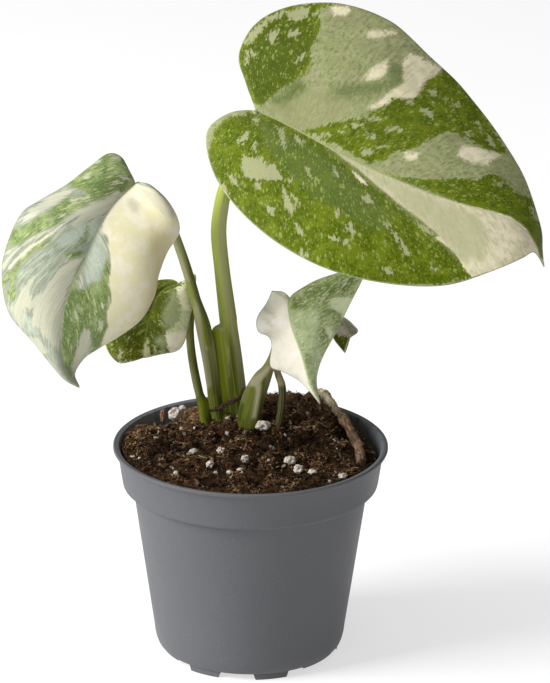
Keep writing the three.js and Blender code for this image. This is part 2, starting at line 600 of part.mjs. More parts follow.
const plant = new THREE.Group();
for (const [name, { solid, finish }] of pieces) {
  const mesh = new THREE.Mesh(geometryFrom(solid), new THREE.MeshStandardMaterial(finish));
  mesh.name = name;
  plant.add(mesh);
}

// The part's origin is on the floor, under the middle of the plant and pot together.
const middle = new THREE.Box3().setFromObject(plant).getCenter(new THREE.Vector3());
plant.position.set(-middle.x, -middle.y, 0);

const part = new THREE.Group();
part.add(plant);

export default part;
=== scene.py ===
"""A young Thai constellation monstera in a grey 12 cm nursery pot: the visual model over its CAD frame."""

import math
import random

import bmesh
import bpy
import numpy as np
from mathutils import Euler, Matrix, Vector, noise


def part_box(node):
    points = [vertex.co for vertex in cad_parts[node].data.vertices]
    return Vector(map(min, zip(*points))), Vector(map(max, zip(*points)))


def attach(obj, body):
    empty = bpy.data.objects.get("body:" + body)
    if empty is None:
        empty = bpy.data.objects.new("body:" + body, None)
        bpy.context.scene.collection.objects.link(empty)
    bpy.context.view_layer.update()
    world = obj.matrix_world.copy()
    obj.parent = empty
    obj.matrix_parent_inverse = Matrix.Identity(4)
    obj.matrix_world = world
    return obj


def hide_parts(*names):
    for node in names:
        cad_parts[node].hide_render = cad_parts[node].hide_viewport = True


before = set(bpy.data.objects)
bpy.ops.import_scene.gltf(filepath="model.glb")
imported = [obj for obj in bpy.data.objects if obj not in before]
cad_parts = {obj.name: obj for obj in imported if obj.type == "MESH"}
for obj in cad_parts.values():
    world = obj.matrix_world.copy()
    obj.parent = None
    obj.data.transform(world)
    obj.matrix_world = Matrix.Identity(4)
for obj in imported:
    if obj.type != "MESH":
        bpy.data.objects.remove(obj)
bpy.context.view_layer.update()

# Camera: a long lens a metre and a half away, looking down at the pot by 20 degrees and leaning by half a
# degree. Places are in millimetres from the pot's axis at the floor, and place() moves them to the frame.
MM = 0.001
pot_low, pot_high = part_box("pot")
POT_AXIS = np.array([(pot_low[0] + pot_high[0]) / 2, (pot_low[1] + pot_high[1]) / 2, 0])
PHOTO_WIDTH = 550
PHOTO_HEIGHT = 683
SENSOR = 36
LENS = 183.06
CAMERA_DISTANCE = 1500
CAMERA_PITCH = math.radians(19.9)
CAMERA_ROLL = math.radians(0.47)
VIEW_CENTRE = np.array([10.28, 0, 142.55])


def place(points):
    """Millimetres from the pot's axis, as metres in the frame."""
    return np.asarray(points, float) * MM + POT_AXIS


forward = np.array([0, math.cos(CAMERA_PITCH), -math.sin(CAMERA_PITCH)])
level_up = np.cross([1, 0, 0], forward)
camera_right = np.array([math.cos(CAMERA_ROLL), 0, 0]) + math.sin(CAMERA_ROLL) * level_up
camera_up = math.cos(CAMERA_ROLL) * level_up - np.array([math.sin(CAMERA_ROLL), 0, 0])
camera_place = VIEW_CENTRE - CAMERA_DISTANCE * forward
camera_data = bpy.data.cameras.new("camera")
camera_data.sensor_width = SENSOR
camera_data.lens = LENS
CLIP_END = 20
camera_data.clip_end = CLIP_END
camera = bpy.data.objects.new("camera", camera_data)
bpy.context.scene.collection.objects.link(camera)
turned = Matrix([list(axes) for axes in zip(camera_right, camera_up, -forward)]).to_4x4()
camera.matrix_world = Matrix.Translation(place(camera_place)) @ turned
bpy.context.scene.camera = camera


def seen_at(points):
    """Where the camera sees points, in the photograph's pixels."""
    away = np.asarray(points) - camera_place
    depth = away @ forward
    pixels_each = LENS / SENSOR * PHOTO_HEIGHT / depth
    across = PHOTO_WIDTH / 2 + away @ camera_right * pixels_each
    down = PHOTO_HEIGHT / 2 - away @ camera_up * pixels_each
    return np.stack([across, down], axis=-1)


# Light and floor: a wide soft box on the left, weak ones overhead and in front, and a dim pale room. The
# sweep is a light table, translucent white and lit from below, so that it stays white under the soft shadow.
def linear(hex_colour):
    """An sRGB colour such as "#a0b1c2" as linear red, green, blue and alpha."""
    channels = [int(hex_colour[i : i + 2], 16) / 255 for i in (1, 3, 5)]
    return [c / 12.92 if c <= 0.04045 else ((c + 0.055) / 1.055) ** 2.4 for c in channels] + [1]


def add_node(tree, kind, inputs=(), **settings):
    """A new node, whose inputs are given as numbers, hex colours or other nodes' outputs."""
    made = tree.nodes.new(kind)
    for name, value in settings.items():
        setattr(made, name, value)
    for socket, value in dict(inputs).items():
        if isinstance(value, bpy.types.NodeSocket):
            tree.links.new(value, made.inputs[socket])
        else:
            made.inputs[socket].default_value = linear(value) if isinstance(value, str) else value
    return made


def new_material(name, roughness, ior=1.45, subsurface=0, specular=0.5):
    """A material with its shader, and the shader's node tree."""
    material = bpy.data.materials.new(name)
    material.use_nodes = True
    shader = material.node_tree.nodes["Principled BSDF"]
    shader.inputs["Roughness"].default_value = roughness
    shader.inputs["IOR"].default_value = ior
    shader.inputs["Specular IOR Level"].default_value = specular
    shader.inputs["Subsurface Weight"].default_value = subsurface
    shader.inputs["Subsurface Radius"].default_value = (1, 0.8, 0.4)
    shader.inputs["Subsurface Scale"].default_value = 1 * MM
    return material, material.node_tree, shader


def noise_of(tree, vector, scale, detail=4, roughness=0.55):
    """The strength of a noise pattern, from 0 to 1."""
    settings = {"Vector": vector, "Scale": scale, "Detail": detail, "Roughness": roughness}
    return add_node(tree, "ShaderNodeTexNoise", settings).outputs[0]


def ramp(tree, value, low, high, to_low=0, to_high=1):
    """A value eased from to_low, at low, to to_high, at high."""
    settings = {0: value, 1: low, 2: high, 3: to_low, 4: to_high}
    return add_node(tree, "ShaderNodeMapRange", settings, interpolation_type="SMOOTHSTEP").outputs[0]


def maths(tree, operation, a, b=0.0):
    return add_node(tree, "ShaderNodeMath", {0: a, 1: b}, operation=operation).outputs[0]


def mix(tree, factor, a, b):
    """Colour a, with colour b over it by factor."""
    colours = {0: factor, 6: a, 7: b}
    return add_node(tree, "ShaderNodeMix", colours, data_type="RGBA").outputs[2]


def two_tone(tree, value, dark, light, low=0.35, high=0.65):
    """The dark colour where a pattern is under low, and the light one where it is over high."""
    return mix(tree, ramp(tree, value, low, high), dark, light)


def layered(tree, colour, *layers):
    """A colour with others over it, each given as how much of it covers and what it is."""
    for factor, over in layers:
        colour = mix(tree, factor, colour, over)
    return colour


def bump(tree, shader, height, distance, strength=1.0):
    """Relief of that many millimetres on a shader's surface."""
    settings = {"Strength": strength, "Distance": distance * MM, "Height": height}
    made = add_node(tree, "ShaderNodeBump", settings)
    tree.links.new(made.outputs[0], shader.inputs["Normal"])


def millimetres(tree):
    """Object coordinates in millimetres."""
    coordinates = add_node(tree, "ShaderNodeTexCoord")
    scaled = {0: coordinates.outputs["Object"], "Scale": 1 / MM}
    return add_node(tree, "ShaderNodeVectorMath", scaled, operation="SCALE").outputs[0]


def stretched(tree, vector, scale, rotation=(0, 0, 0)):
    """A pattern's coordinates with a scale of their own each way."""
    inputs = {"Vector": vector, "Scale": scale, "Rotation": rotation}
    return add_node(tree, "ShaderNodeMapping", inputs).outputs[0]


def field_of(tree, name):
    """A number that the points of the mesh carry."""
    return add_node(tree, "ShaderNodeAttribute", attribute_name=name).outputs["Fac"]


def uv_of(tree):
    return add_node(tree, "ShaderNodeUVMap", uv_map="UVMap").outputs[0]


def colour_of(tree, shader, colour):
    tree.links.new(colour, shader.inputs["Base Color"])


PLANT_MIDDLE = Vector((0, 0, 0.14))


def soft_box(name, at, size, watts):
    """A square area light aimed at the plant."""
    data = bpy.data.lights.new(name, "AREA")
    data.size = size
    data.energy = watts
    light = bpy.data.objects.new(name, data)
    bpy.context.scene.collection.objects.link(light)
    light.location = at
    light.rotation_euler = (PLANT_MIDDLE - Vector(at)).to_track_quat("-Z", "Y").to_euler()


soft_box("key_light", at=(-2.1, -0.7, 1.35), size=1.3, watts=103)
soft_box("top_light", at=(0.2, 0, 2.4), size=1.6, watts=15)
soft_box("front_fill", at=(-0.7, -2.3, 0.6), size=1.5, watts=8)
room = bpy.data.worlds.new("pale_room")
room.use_nodes = True
room.node_tree.nodes["Background"].inputs["Color"].default_value = linear("#fafaff")
room.node_tree.nodes["Background"].inputs["Strength"].default_value = 0.18
bpy.context.scene.world = room
bpy.context.scene.view_settings.view_transform = "Standard"

FLOOR_SIZE = 12
floor_shape = bmesh.new()
bmesh.ops.create_grid(floor_shape, x_segments=2, y_segments=2, size=FLOOR_SIZE / 2)
floor_mesh = bpy.data.meshes.new("floor")
floor_shape.to_mesh(floor_mesh)
floor_shape.free()
floor = bpy.data.objects.new("floor", floor_mesh)
bpy.context.scene.collection.objects.link(floor)
floor_paint, tree, shader = new_material("white_studio_sweep", roughness=0.9)
colour_of(tree, shader, mix(tree, noise_of(tree, millimetres(tree), 0.01), "#b2b2b2", "#b6b6b6"))
shader.inputs["Emission Color"].default_value = linear("#ffffff")
shader.inputs["Emission Strength"].default_value = 0.6
floor_mesh.materials.append(floor_paint)

# Pot: one thin injection moulding in matt grey polypropylene, with a broad collar, a rolled lip, six drain
# holes and three groups of feet with a raised rim between them. Its profile is turned about its axis, and
# the notches and holes are cut.
POT_HEIGHT = 95.4
LIP_RADIUS = 60
COLLAR_TOP_RADIUS = 58
COLLAR_FOOT_RADIUS = 56
COLLAR_FOOT_HEIGHT = 79
WALL_TOP_RADIUS = 51.4
WALL_FOOT_RADIUS = 42.3
WALL_FOOT_HEIGHT = 11
WALL_THICKNESS = 1.3
FOOT_RING_RADIUS = 39.3
FOOT_RING_WIDTH = 2.3
FOOT_RING_HEIGHT = 3.4
FLOOR_THICKNESS = 1.6
FEET_START_ANGLE = -7.5
WIDE_NOTCH_ANGLE = 20.7
NARROW_NOTCH_ANGLE = 10.4
NARROW_NOTCH_OFFSET = 39.2
FOOT_GROUPS = 3
NOTCH_HEIGHT = 3
RAISED_RIM_ANGLE = 31
RAISED_RIM_HEIGHT = 1.9
NOTCH_FLARE = 1.1
DRAIN_RADIUS = 4
DRAIN_CIRCLE_RADIUS = 25
DRAIN_COUNT = 6
POT_SIDES = 192
MOULD_EDGE_ANGLE = math.radians(40)


def new_piece(name, shape, materials, smooth=True):
    """An object with the bmesh as its mesh. Its points are in millimetres from the pot's axis."""
    mesh = bpy.data.meshes.new(name)
    shape.to_mesh(mesh)
    shape.free()
    mesh.transform(Matrix.Translation(POT_AXIS) @ Matrix.Scale(MM, 4))
    for material in materials:
        mesh.materials.append(material)
    if smooth:
        mesh.shade_smooth()
    piece = bpy.data.objects.new(name, mesh)
    bpy.context.scene.collection.objects.link(piece)
    return piece


def belongs(piece, slot, *nodes):
    """The piece rides on the plant's one body and hides the CAD nodes it stands for. Slot is not used."""
    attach(piece, "root")
    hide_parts(*nodes)


def with_modifiers_applied(piece):
    """Its mesh becomes what its modifiers make of it."""
    seen = piece.evaluated_get(bpy.context.evaluated_depsgraph_get())
    made = bpy.data.meshes.new_from_object(seen)
    piece.modifiers.clear()
    piece.data = made


inner_collar = COLLAR_FOOT_RADIUS - WALL_THICKNESS
pot_profile = [
    (0, FOOT_RING_HEIGHT), (FOOT_RING_RADIUS - FOOT_RING_WIDTH, FOOT_RING_HEIGHT),
    (FOOT_RING_RADIUS - FOOT_RING_WIDTH, 0), (FOOT_RING_RADIUS, 0), (FOOT_RING_RADIUS, 2.9),
    (40.2, 3.1), (40.8, 3.9), (41.5, 5.8), (42, 8.2), (WALL_FOOT_RADIUS, WALL_FOOT_HEIGHT),
    (WALL_TOP_RADIUS, COLLAR_FOOT_HEIGHT - 3), (WALL_TOP_RADIUS + 0.4, COLLAR_FOOT_HEIGHT - 2.2),
    (COLLAR_FOOT_RADIUS - 0.8, COLLAR_FOOT_HEIGHT - 1.4),
    (COLLAR_FOOT_RADIUS - 0.2, COLLAR_FOOT_HEIGHT - 0.9),
    (COLLAR_FOOT_RADIUS, COLLAR_FOOT_HEIGHT), (COLLAR_TOP_RADIUS, POT_HEIGHT - 2.6),
    (COLLAR_TOP_RADIUS + 0.3, POT_HEIGHT - 2.2), (LIP_RADIUS - 0.3, POT_HEIGHT - 1.6),
    (LIP_RADIUS, POT_HEIGHT - 1.1), (LIP_RADIUS - 0.05, POT_HEIGHT - 0.4), (LIP_RADIUS - 0.5, POT_HEIGHT),
    (COLLAR_TOP_RADIUS + 0.4, POT_HEIGHT), (COLLAR_TOP_RADIUS - 0.5, POT_HEIGHT - 0.4),
    (COLLAR_TOP_RADIUS - WALL_THICKNESS, POT_HEIGHT - 2.2), (inner_collar, COLLAR_FOOT_HEIGHT + 0.4),
    (inner_collar - 0.8, COLLAR_FOOT_HEIGHT - 0.4),
    (WALL_TOP_RADIUS - WALL_THICKNESS + 0.3, COLLAR_FOOT_HEIGHT - 0.8),
    (WALL_TOP_RADIUS - WALL_THICKNESS, COLLAR_FOOT_HEIGHT - 3),
    (WALL_FOOT_RADIUS - WALL_THICKNESS, WALL_FOOT_HEIGHT),
    (39.6, FOOT_RING_HEIGHT + FLOOR_THICKNESS + 1.4), (38, FOOT_RING_HEIGHT + FLOOR_THICKNESS),
    (0, FOOT_RING_HEIGHT + FLOOR_THICKNESS),
]


def turned_shape(profile, sides):
    """A profile of radius and height, turned about the pot's axis into a closed skin."""
    shape = bmesh.new()
    corners = [shape.verts.new((radius, 0, height)) for radius, height in profile]
    lines = [shape.edges.new(pair) for pair in zip(corners, corners[1:])]
    whole_turn = {"axis": (0, 0, 1), "cent": (0, 0, 0), "steps": sides, "angle": 2 * math.pi}
    bmesh.ops.spin(shape, geom=corners + lines, use_merge=True, **whole_turn)
    bmesh.ops.remove_doubles(shape, verts=shape.verts, dist=0.001)
    bmesh.ops.recalc_face_normals(shape, faces=shape.faces)
    return shape


pot_plastic, tree, shader = new_material("matt_grey_polypropylene", roughness=0.5, ior=1.49, specular=0.2)
mm = millimetres(tree)
height_mm = add_node(tree, "ShaderNodeSeparateXYZ", {0: mm}).outputs[2]
cloudy = noise_of(tree, mm, 0.03, detail=3)
moulding = noise_of(tree, mm, 2.2, detail=2)
scratch_lines = stretched(tree, mm, (0.5, 0.5, 0.035), rotation=(0.2, 0.3, 0))
scratches = ramp(tree, noise_of(tree, scratch_lines, 1.4, detail=6, roughness=0.7), 0.66, 0.72)
specks = ramp(tree, noise_of(tree, mm, 1.1, detail=1), 0.74, 0.8)
dust = maths(tree, "MULTIPLY", ramp(tree, height_mm, 84, 96), ramp(tree, noise_of(tree, mm, 0.4), 0.5, 0.75))
grey = layered(
    tree,
    mix(tree, cloudy, "#57585b", "#5f6063"),
    (ramp(tree, noise_of(tree, mm, 1.5, detail=3), 0.35, 0.65, 0, 0.3), "#504f50"),
    (maths(tree, "MULTIPLY", scratches, 0.16), "#9a9c9d"),
    (maths(tree, "MULTIPLY", specks, 0.25), "#a9a8a4"),
    (maths(tree, "MULTIPLY", dust, 0.2), "#5a4a3c"),
)
colour_of(tree, shader, grey)
tree.links.new(ramp(tree, cloudy, 0.3, 0.7, 0.44, 0.56), shader.inputs["Roughness"])
bump(tree, shader, maths(tree, "SUBTRACT", moulding, scratches), 0.05)

# Inner wall: darker than the outside and streaked with brown, partly real dirt and partly painted shade
# inside the pot.
dusty_and_shaded_plastic, tree, shader = new_material("dusty_painted_shade_inner_wall", roughness=0.75, ior=1.49)
dirt_and_painted_shade = noise_of(tree, millimetres(tree), 0.35, detail=6, roughness=0.7)
colour_of(tree, shader, two_tone(tree, dirt_and_painted_shade, "#63676a", "#443b33", 0.52, 0.7))
bump(tree, shader, dirt_and_painted_shade, 0.15)

pot = new_piece("nursery_pot", turned_shape(pot_profile, POT_SIDES), [pot_plastic])
cutters_shape = bmesh.new()
for group in range(FOOT_GROUPS):
    middle = FEET_START_ANGLE + 360 / FOOT_GROUPS * group
    for angle, width, height in (
        (middle, WIDE_NOTCH_ANGLE, NOTCH_HEIGHT),
        (middle - NARROW_NOTCH_OFFSET, NARROW_NOTCH_ANGLE, NOTCH_HEIGHT),
        (middle + NARROW_NOTCH_OFFSET, NARROW_NOTCH_ANGLE, NOTCH_HEIGHT),
        (middle + 180 / FOOT_GROUPS, RAISED_RIM_ANGLE, RAISED_RIM_HEIGHT),
    ):
        chord = 2 * FOOT_RING_RADIUS * math.sin(math.radians(width / 2))
        sized = Matrix.Diagonal((chord, 5 * FOOT_RING_WIDTH, 2 * height, 1))
        out_to_rim = Matrix.Translation((0, -FOOT_RING_RADIUS, 0))
        under_rim = Matrix.Rotation(math.radians(angle), 4, "Z") @ out_to_rim
        cutter = bmesh.ops.create_cube(cutters_shape)["verts"]
        foot_corners = [corner for corner in cutter if corner.co.z < 0]
        bmesh.ops.scale(cutters_shape, verts=foot_corners, vec=(1 + 4 * NOTCH_FLARE / chord, 1, 1))
        bmesh.ops.transform(cutters_shape, verts=cutter, matrix=under_rim @ sized)
for hole in range(DRAIN_COUNT):
    at = Matrix.Translation((DRAIN_CIRCLE_RADIUS, 0, FOOT_RING_HEIGHT + FLOOR_THICKNESS / 2))
    turned = Matrix.Rotation(2 * math.pi * hole / DRAIN_COUNT, 4, "Z")
    round_bar = {"radius1": DRAIN_RADIUS, "radius2": DRAIN_RADIUS, "depth": 4 * FLOOR_THICKNESS}
    bmesh.ops.create_cone(cutters_shape, cap_ends=True, segments=32, matrix=turned @ at, **round_bar)
cutters = new_piece("pot_cutters", cutters_shape, [], smooth=False)
cut = pot.modifiers.new("notches_and_drains", "BOOLEAN")
cut.object = cutters
cut.use_self = True
with_modifiers_applied(pot)
bpy.data.objects.remove(cutters)
pot.data.set_sharp_from_angle(angle=MOULD_EDGE_ANGLE)
pot.data.materials.append(dusty_and_shaded_plastic)
for face in pot.data.polygons:
    outwards = Vector((face.center.x - POT_AXIS[0], face.center.y - POT_AXIS[1], 0))
    if face.normal.dot(outwards) < -0.3 * outwards.length and face.center.z > 2 * FOOT_RING_HEIGHT * MM:
        face.material_index = 1
belongs(pot, "pot_plastic", "pot")

# Soil: dark peat with bark, fibre and perlite, heaped towards the back right and sunk at the right and the
# back left. The body is turned, soil_height raises its top, and the loose bits on it are real small shapes.
SOIL_LEVEL = 95.5
SOIL_GAP = 0.5
SOIL_EDGE_RADIUS = COLLAR_TOP_RADIUS - WALL_THICKNESS - SOIL_GAP
COLLAR_SLOPE = 2 / 14
SOIL_SIDES = 200
SOIL_RINGS = 62
DIPS = [(12, 28, 7.5), (137, 11.5, 8.5), (90, 60, 1)]
MOUNDS = [(16, 29, 32, 33, 10.5), (31, 40, 9, 9, 4.5), (-8, 13, 8, 5, 3.4), (-48, 12, 8, 10, 1.5)]


def soil_height(x, y):
    """The soil's height. Dips are angle, spread and depth, and mounds are x, y, two spreads and height."""
    share = min(1, math.hypot(x, y) / SOIL_EDGE_RADIUS)
    angle = math.degrees(math.atan2(y, x))
    edge = SOIL_LEVEL - SOIL_GAP
    for dip_angle, spread, depth in DIPS:
        away = (angle - dip_angle + 180) % 360 - 180
        edge -= depth * math.exp(-((away / spread) ** 2))
    heaped = 0.7 * math.sin(0.31 * x + 1.3) * math.cos(0.37 * y) + 0.5 * math.sin(0.53 * (x + y))
    for mound_x, mound_y, spread_x, spread_y, height in MOUNDS:
        heaped += height * math.exp(-(((x - mound_x) / spread_x) ** 2) - ((y - mound_y) / spread_y) ** 2)
    return SOIL_LEVEL + (edge - SOIL_LEVEL) * share**4 + heaped * (1 - share**12)


HOLLOWS = [(14, -26, 5, 5), (28, -12, 4, 2.5), (44, 8, 5, 3)]


def soil_top(x, y):
    """The same height with clods, crumbs and hollows, where hollows are x, y, spread and depth."""
    share = min(1, math.hypot(x, y) / SOIL_EDGE_RADIUS)
    rough = 2.2 * noise.turbulence((0.17 * x, 0.17 * y, 3), 6, False) - 1.7
    clods = 2.4 * noise.noise((0.16 * x, 0.16 * y, 9)) + 1.6 * noise.noise((0.45 * x, 0.45 * y, 5))
    for hollow_x, hollow_y, spread, depth in HOLLOWS:
        rough -= depth * math.exp(-(((x - hollow_x) ** 2 + (y - hollow_y) ** 2) / spread**2))
    return soil_height(x, y) + (rough + clods) * (1 - 0.6 * share**8)


soil_floor = FOOT_RING_HEIGHT + FLOOR_THICKNESS + 0.3
soil_profile = [
    (0, soil_floor),
    (36, soil_floor),
    (WALL_FOOT_RADIUS - WALL_THICKNESS - 1.6, soil_floor + 3.2),
    (WALL_FOOT_RADIUS - WALL_THICKNESS - SOIL_GAP, WALL_FOOT_HEIGHT),
    (WALL_TOP_RADIUS - WALL_THICKNESS - SOIL_GAP, COLLAR_FOOT_HEIGHT - 3),
    (WALL_TOP_RADIUS - WALL_THICKNESS - SOIL_GAP, COLLAR_FOOT_HEIGHT + 1),
    (COLLAR_FOOT_RADIUS - WALL_THICKNESS - SOIL_GAP, COLLAR_FOOT_HEIGHT + 1.4),
]
soil_profile += [(SOIL_EDGE_RADIUS * ring / SOIL_RINGS, SOIL_LEVEL) for ring in range(SOIL_RINGS, -1, -1)]
soil_shape = turned_shape(soil_profile, SOIL_SIDES)
for corner in soil_shape.verts:
    x, y, z = corner.co
    if z < SOIL_LEVEL - 0.01:
        continue
    corner.co.z = soil_top(x, y)
    wall = inner_collar - SOIL_GAP + COLLAR_SLOPE * (corner.co.z - COLLAR_FOOT_HEIGHT)
    corner.co.xy *= min(1, wall / SOIL_EDGE_RADIUS)

peat, tree, shader = new_material("damp_peat", roughness=0.95, specular=0.12)
mm = millimetres(tree)
crumbly = noise_of(tree, mm, 0.55, detail=8, roughness=0.7)
backwards_for_painted_light = add_node(tree, "ShaderNodeSeparateXYZ", {0: mm}).outputs[1]
earth = layered(
    tree,
    two_tone(tree, crumbly, "#0e0704", "#4d321c"),
    (ramp(tree, noise_of(tree, mm, 1.3, detail=3), 0.6, 0.75), "#6b4a26"),
    # Painted light: the peat is lighter towards the back, where the leaves and stalks shade it.
    (ramp(tree, backwards_for_painted_light, 5, 32, 0, 0.7), "#77583f"),
    (ramp(tree, noise_of(tree, mm, 0.11, detail=2), 0.5, 0.62, 0, 0.5), "#0c0603"),
)
colour_of(tree, shader, earth)
bump(tree, shader, noise_of(tree, mm, 1.5, detail=8, roughness=0.75), 1.2)
soil = new_piece("potting_soil", soil_shape, [peat])
belongs(soil, "peat", "soil")


def tinted(mesh, value):
    """The same tint for the whole of one loose bit."""
    mesh.attributes["tint"].data.foreach_set("value", [value] * len(mesh.vertices))


def template(shape):
    """A bmesh as a small mesh with room for a tint, to be copied many times."""
    mesh = bpy.data.meshes.new("template")
    shape.to_mesh(mesh)
    shape.free()
    mesh.attributes.new("tint", "FLOAT", "POINT")
    return mesh


STREWN_RADIUS = SOIL_EDGE_RADIUS - 1.2
LYING_TIP = 0.35


def dampness_and_painted_light(x, y):
    """How light the loose bits are: drier in patches, with painted light towards the back, where leaves
    shade.
    """
    patchy = noise.noise((0.09 * x, 0.09 * y, 2))
    return min(2.2, max(0.15, 0.62 + 1.5 * patchy + 0.035 * max(0, y)))


def strewn(name, slot, material, templates, count, sizes, seed, lying=False, sunk=0.25, flat=1.0):
    """Many copies of small meshes on the soil, each turned, sized and tinted in its own way. Sizes are the
    smallest one, how much larger they get, and how rare the large ones are. Lying ones keep flat."""
    chance = random.Random(seed)
    shape = bmesh.new()
    smallest, larger, rarity = sizes
    for _ in range(count):
        radius = STREWN_RADIUS * math.sqrt(chance.random())
        angle = 2 * math.pi * chance.random()
        x, y = radius * math.cos(angle), radius * math.sin(angle)
        size = smallest + larger * chance.random() ** rarity
        mesh = chance.choice(templates)
        tinted(mesh, chance.random() ** 1.5 * dampness_and_painted_light(x, y))
        heading = chance.gauss(0, 0.7) if lying else chance.uniform(0, 2 * math.pi)
        tip = LYING_TIP if lying else math.pi
        turn = Euler((chance.uniform(-math.pi, math.pi), chance.uniform(-tip, tip), heading)).to_matrix()
        squash = Matrix.Diagonal((1, chance.uniform(0.6, 1), chance.uniform(0.45, 0.9), 1))
        pressed = Matrix.Diagonal((1, 1, flat, 1))
        at = Matrix.Translation((x, y, soil_top(x, y) + (0.5 - sunk) * size * flat))
        placed = at @ pressed @ turn.to_4x4() @ Matrix.Scale(size, 4) @ squash
        mesh.transform(placed)
        shape.from_mesh(mesh)
        mesh.transform(placed.inverted())
    belongs(new_piece(name, shape, [material], smooth=False), slot)


def lump_template(seed, detail=1, roughness=0.3):
    """A small uneven lump, one unit across."""
    shape = bmesh.new()
    bmesh.ops.create_icosphere(shape, subdivisions=detail, radius=0.5)
    for corner in shape.verts:
        corner.co *= 1 + roughness * noise.noise(corner.co * 3 + Vector((seed, 0, 0))) * 2
    return template(shape)


def ends_apart(edge, axis):
    """Whether an edge of a small shape runs along the axis."""
    return abs(edge.verts[0].co[axis] - edge.verts[1].co[axis]) > 0.5


def flake_template(seed):
    """A torn flake of bark: a block with tapered, twisted ends."""
    chance = random.Random(seed)
    shape = bmesh.new()
    bmesh.ops.create_cube(shape, size=1, matrix=Matrix.Diagonal((1, 0.45, 0.16, 1)))
    lengthwise = [edge for edge in shape.edges if ends_apart(edge, 0)]
    bmesh.ops.subdivide_edges(shape, edges=lengthwise, cuts=2)
    for corner in shape.verts:
        taper = 1 - 0.7 * (2 * abs(corner.co.x)) ** 2 * chance.random()
        corner.co.y = corner.co.y * taper + 0.12 * math.sin(3 * corner.co.x + seed)
        corner.co.z += 0.05 * math.sin(4 * corner.co.x + seed)
    return template(shape)


def strand_template(seed, thickness):
    """A bent fibre, one unit long, of three sides."""
    chance = random.Random(seed)
    shape = bmesh.new()
    ends = {"radius1": thickness, "radius2": thickness / 2}
    bmesh.ops.create_cone(shape, cap_ends=True, segments=3, depth=1, **ends)
    upright = [edge for edge in shape.edges if ends_apart(edge, 2)]
    bmesh.ops.subdivide_edges(shape, edges=upright, cuts=2)
    bend, curl = chance.uniform(0.1, 0.5), chance.uniform(0, 6)
    for corner in shape.verts:
        corner.co.x += bend * math.cos(2.6 * corner.co.z)
        corner.co.y += 0.12 * math.sin(5 * corner.co.z + curl)
    bmesh.ops.rotate(shape, verts=shape.verts, cent=(0, 0, 0), matrix=Matrix.Rotation(math.pi / 2, 3, "Y"))
    return template(shape)


def loose_material(name, dark, light, roughness=0.95, relief=0.3):
    """The material of loose bits, each between a dark and a light tone by its own tint."""
    material, tree, shader = new_material(name, roughness, specular=0.12)
    grain = noise_of(tree, millimetres(tree), 2.5, detail=4)
    tint = maths(tree, "MULTIPLY", field_of(tree, "tint"), 0.8)
    tone = maths(tree, "ADD", tint, maths(tree, "MULTIPLY", grain, 0.3))
    colour_of(tree, shader, two_tone(tree, tone, dark, light, 0.1, 1))
    bump(tree, shader, grain, relief)
    return material


strewn(
    "peat_crumbs", "peat", loose_material("peat_crumb", "#0e0805", "#94714e"),
    [lump_template(seed, roughness=0.7) for seed in range(8)], count=6500, sizes=(0.35, 1.5, 3), seed=11,
)
strewn(
    "peat_fibres", "peat", loose_material("peat_fibre", "#20140c", "#a58767", relief=0.1),
    [strand_template(seed, thickness=0.045) for seed in range(12)], count=9500, sizes=(1.2, 3.4, 2.5),
    seed=12, lying=True, sunk=0.35, flat=0.8,
)
strewn(
    "moss_strands", "peat", loose_material("dry_moss", "#3a3a18", "#8f9058", relief=0.1),
    [strand_template(seed + 30, thickness=0.06) for seed in range(6)], count=1300, sizes=(0.9, 1.9, 2),
    seed=15, lying=True,
)
strewn(
    "bark_flakes", "bark", loose_material("composted_bark", "#25170f", "#6d4a37", relief=0.4),
    [flake_template(seed) for seed in range(6)], count=240, sizes=(1.2, 3.2, 2), seed=13, flat=0.6,
)
strewn(
    "perlite_grit", "perlite",
    loose_material("expanded_perlite", "#6f6353", "#d9d0c2", roughness=0.85, relief=0.25),
    [lump_template(seed + 20, roughness=0.6) for seed in range(8)], count=420, sizes=(0.35, 1.9, 3),
    seed=14, sunk=0.35,
)

# Perlite: puffed volcanic glass, chalky and pitted. The grains that are large enough to count each lie where
# the photograph shows them, given by their place and three half sizes. The small ones are one piece.
PERLITE = [
    (-33.8, 34, 95.5, 3.2, 3, 3.6), (-30.9, 43.5, 94.6, 2, 1.6, 1.4), (5.4, 3.6, 102.2, 3.4, 2.8, 2.4),
    (-2.2, -21.9, 96.6, 1.9, 1.8, 2), (17.2, -23.1, 96.7, 2.6, 2, 2.2), (20.8, -32.1, 96.2, 2.2, 2, 2.3),
    (26.8, -34.8, 95.9, 2, 1.6, 1.5), (39.6, -36.8, 95.2, 2, 1.5, 1.4), (-51, -14.2, 93.4, 1.5, 1.4, 1.3),
    (-12.7, -10.6, 96, 1.9, 1.7, 1.6), (-17.2, -23.8, 94.8, 1.9, 1.8, 1.8),
]
SMALL_PERLITE = [
    (-24.6, -8.2, 2.1, 1.7, 1.5), (-14.7, -33, 1.2, 1.2, 2), (-8.8, -31, 1.5, 1.2, 1.1),
    (-3.9, -30.4, 2, 1, 0.8), (-31.5, -36, 1.2, 1, 1), (-47.8, -15.8, 0.9, 0.8, 0.8),
    (-33, -25.3, 0.6, 0.6, 0.9), (-41.4, 5, 1.6, 1, 0.8), (-10.3, 5, 1.3, 1.2, 1.3),
    (-24.6, 15.7, 0.9, 0.8, 0.8), (36.2, 1.2, 1, 0.9, 0.9), (34, -41, 0.9, 0.8, 0.8),
    (13, -51, 0.8, 0.7, 0.7), (-27, -9, 1.1, 1, 0.9), (-6.6, -24, 1.1, 1, 1), (23.4, -30, 1.2, 1, 1),
]
WOOD_CHIP = (-39.6, 36.6, 93.2, 1.4, 1.5, 3.4)


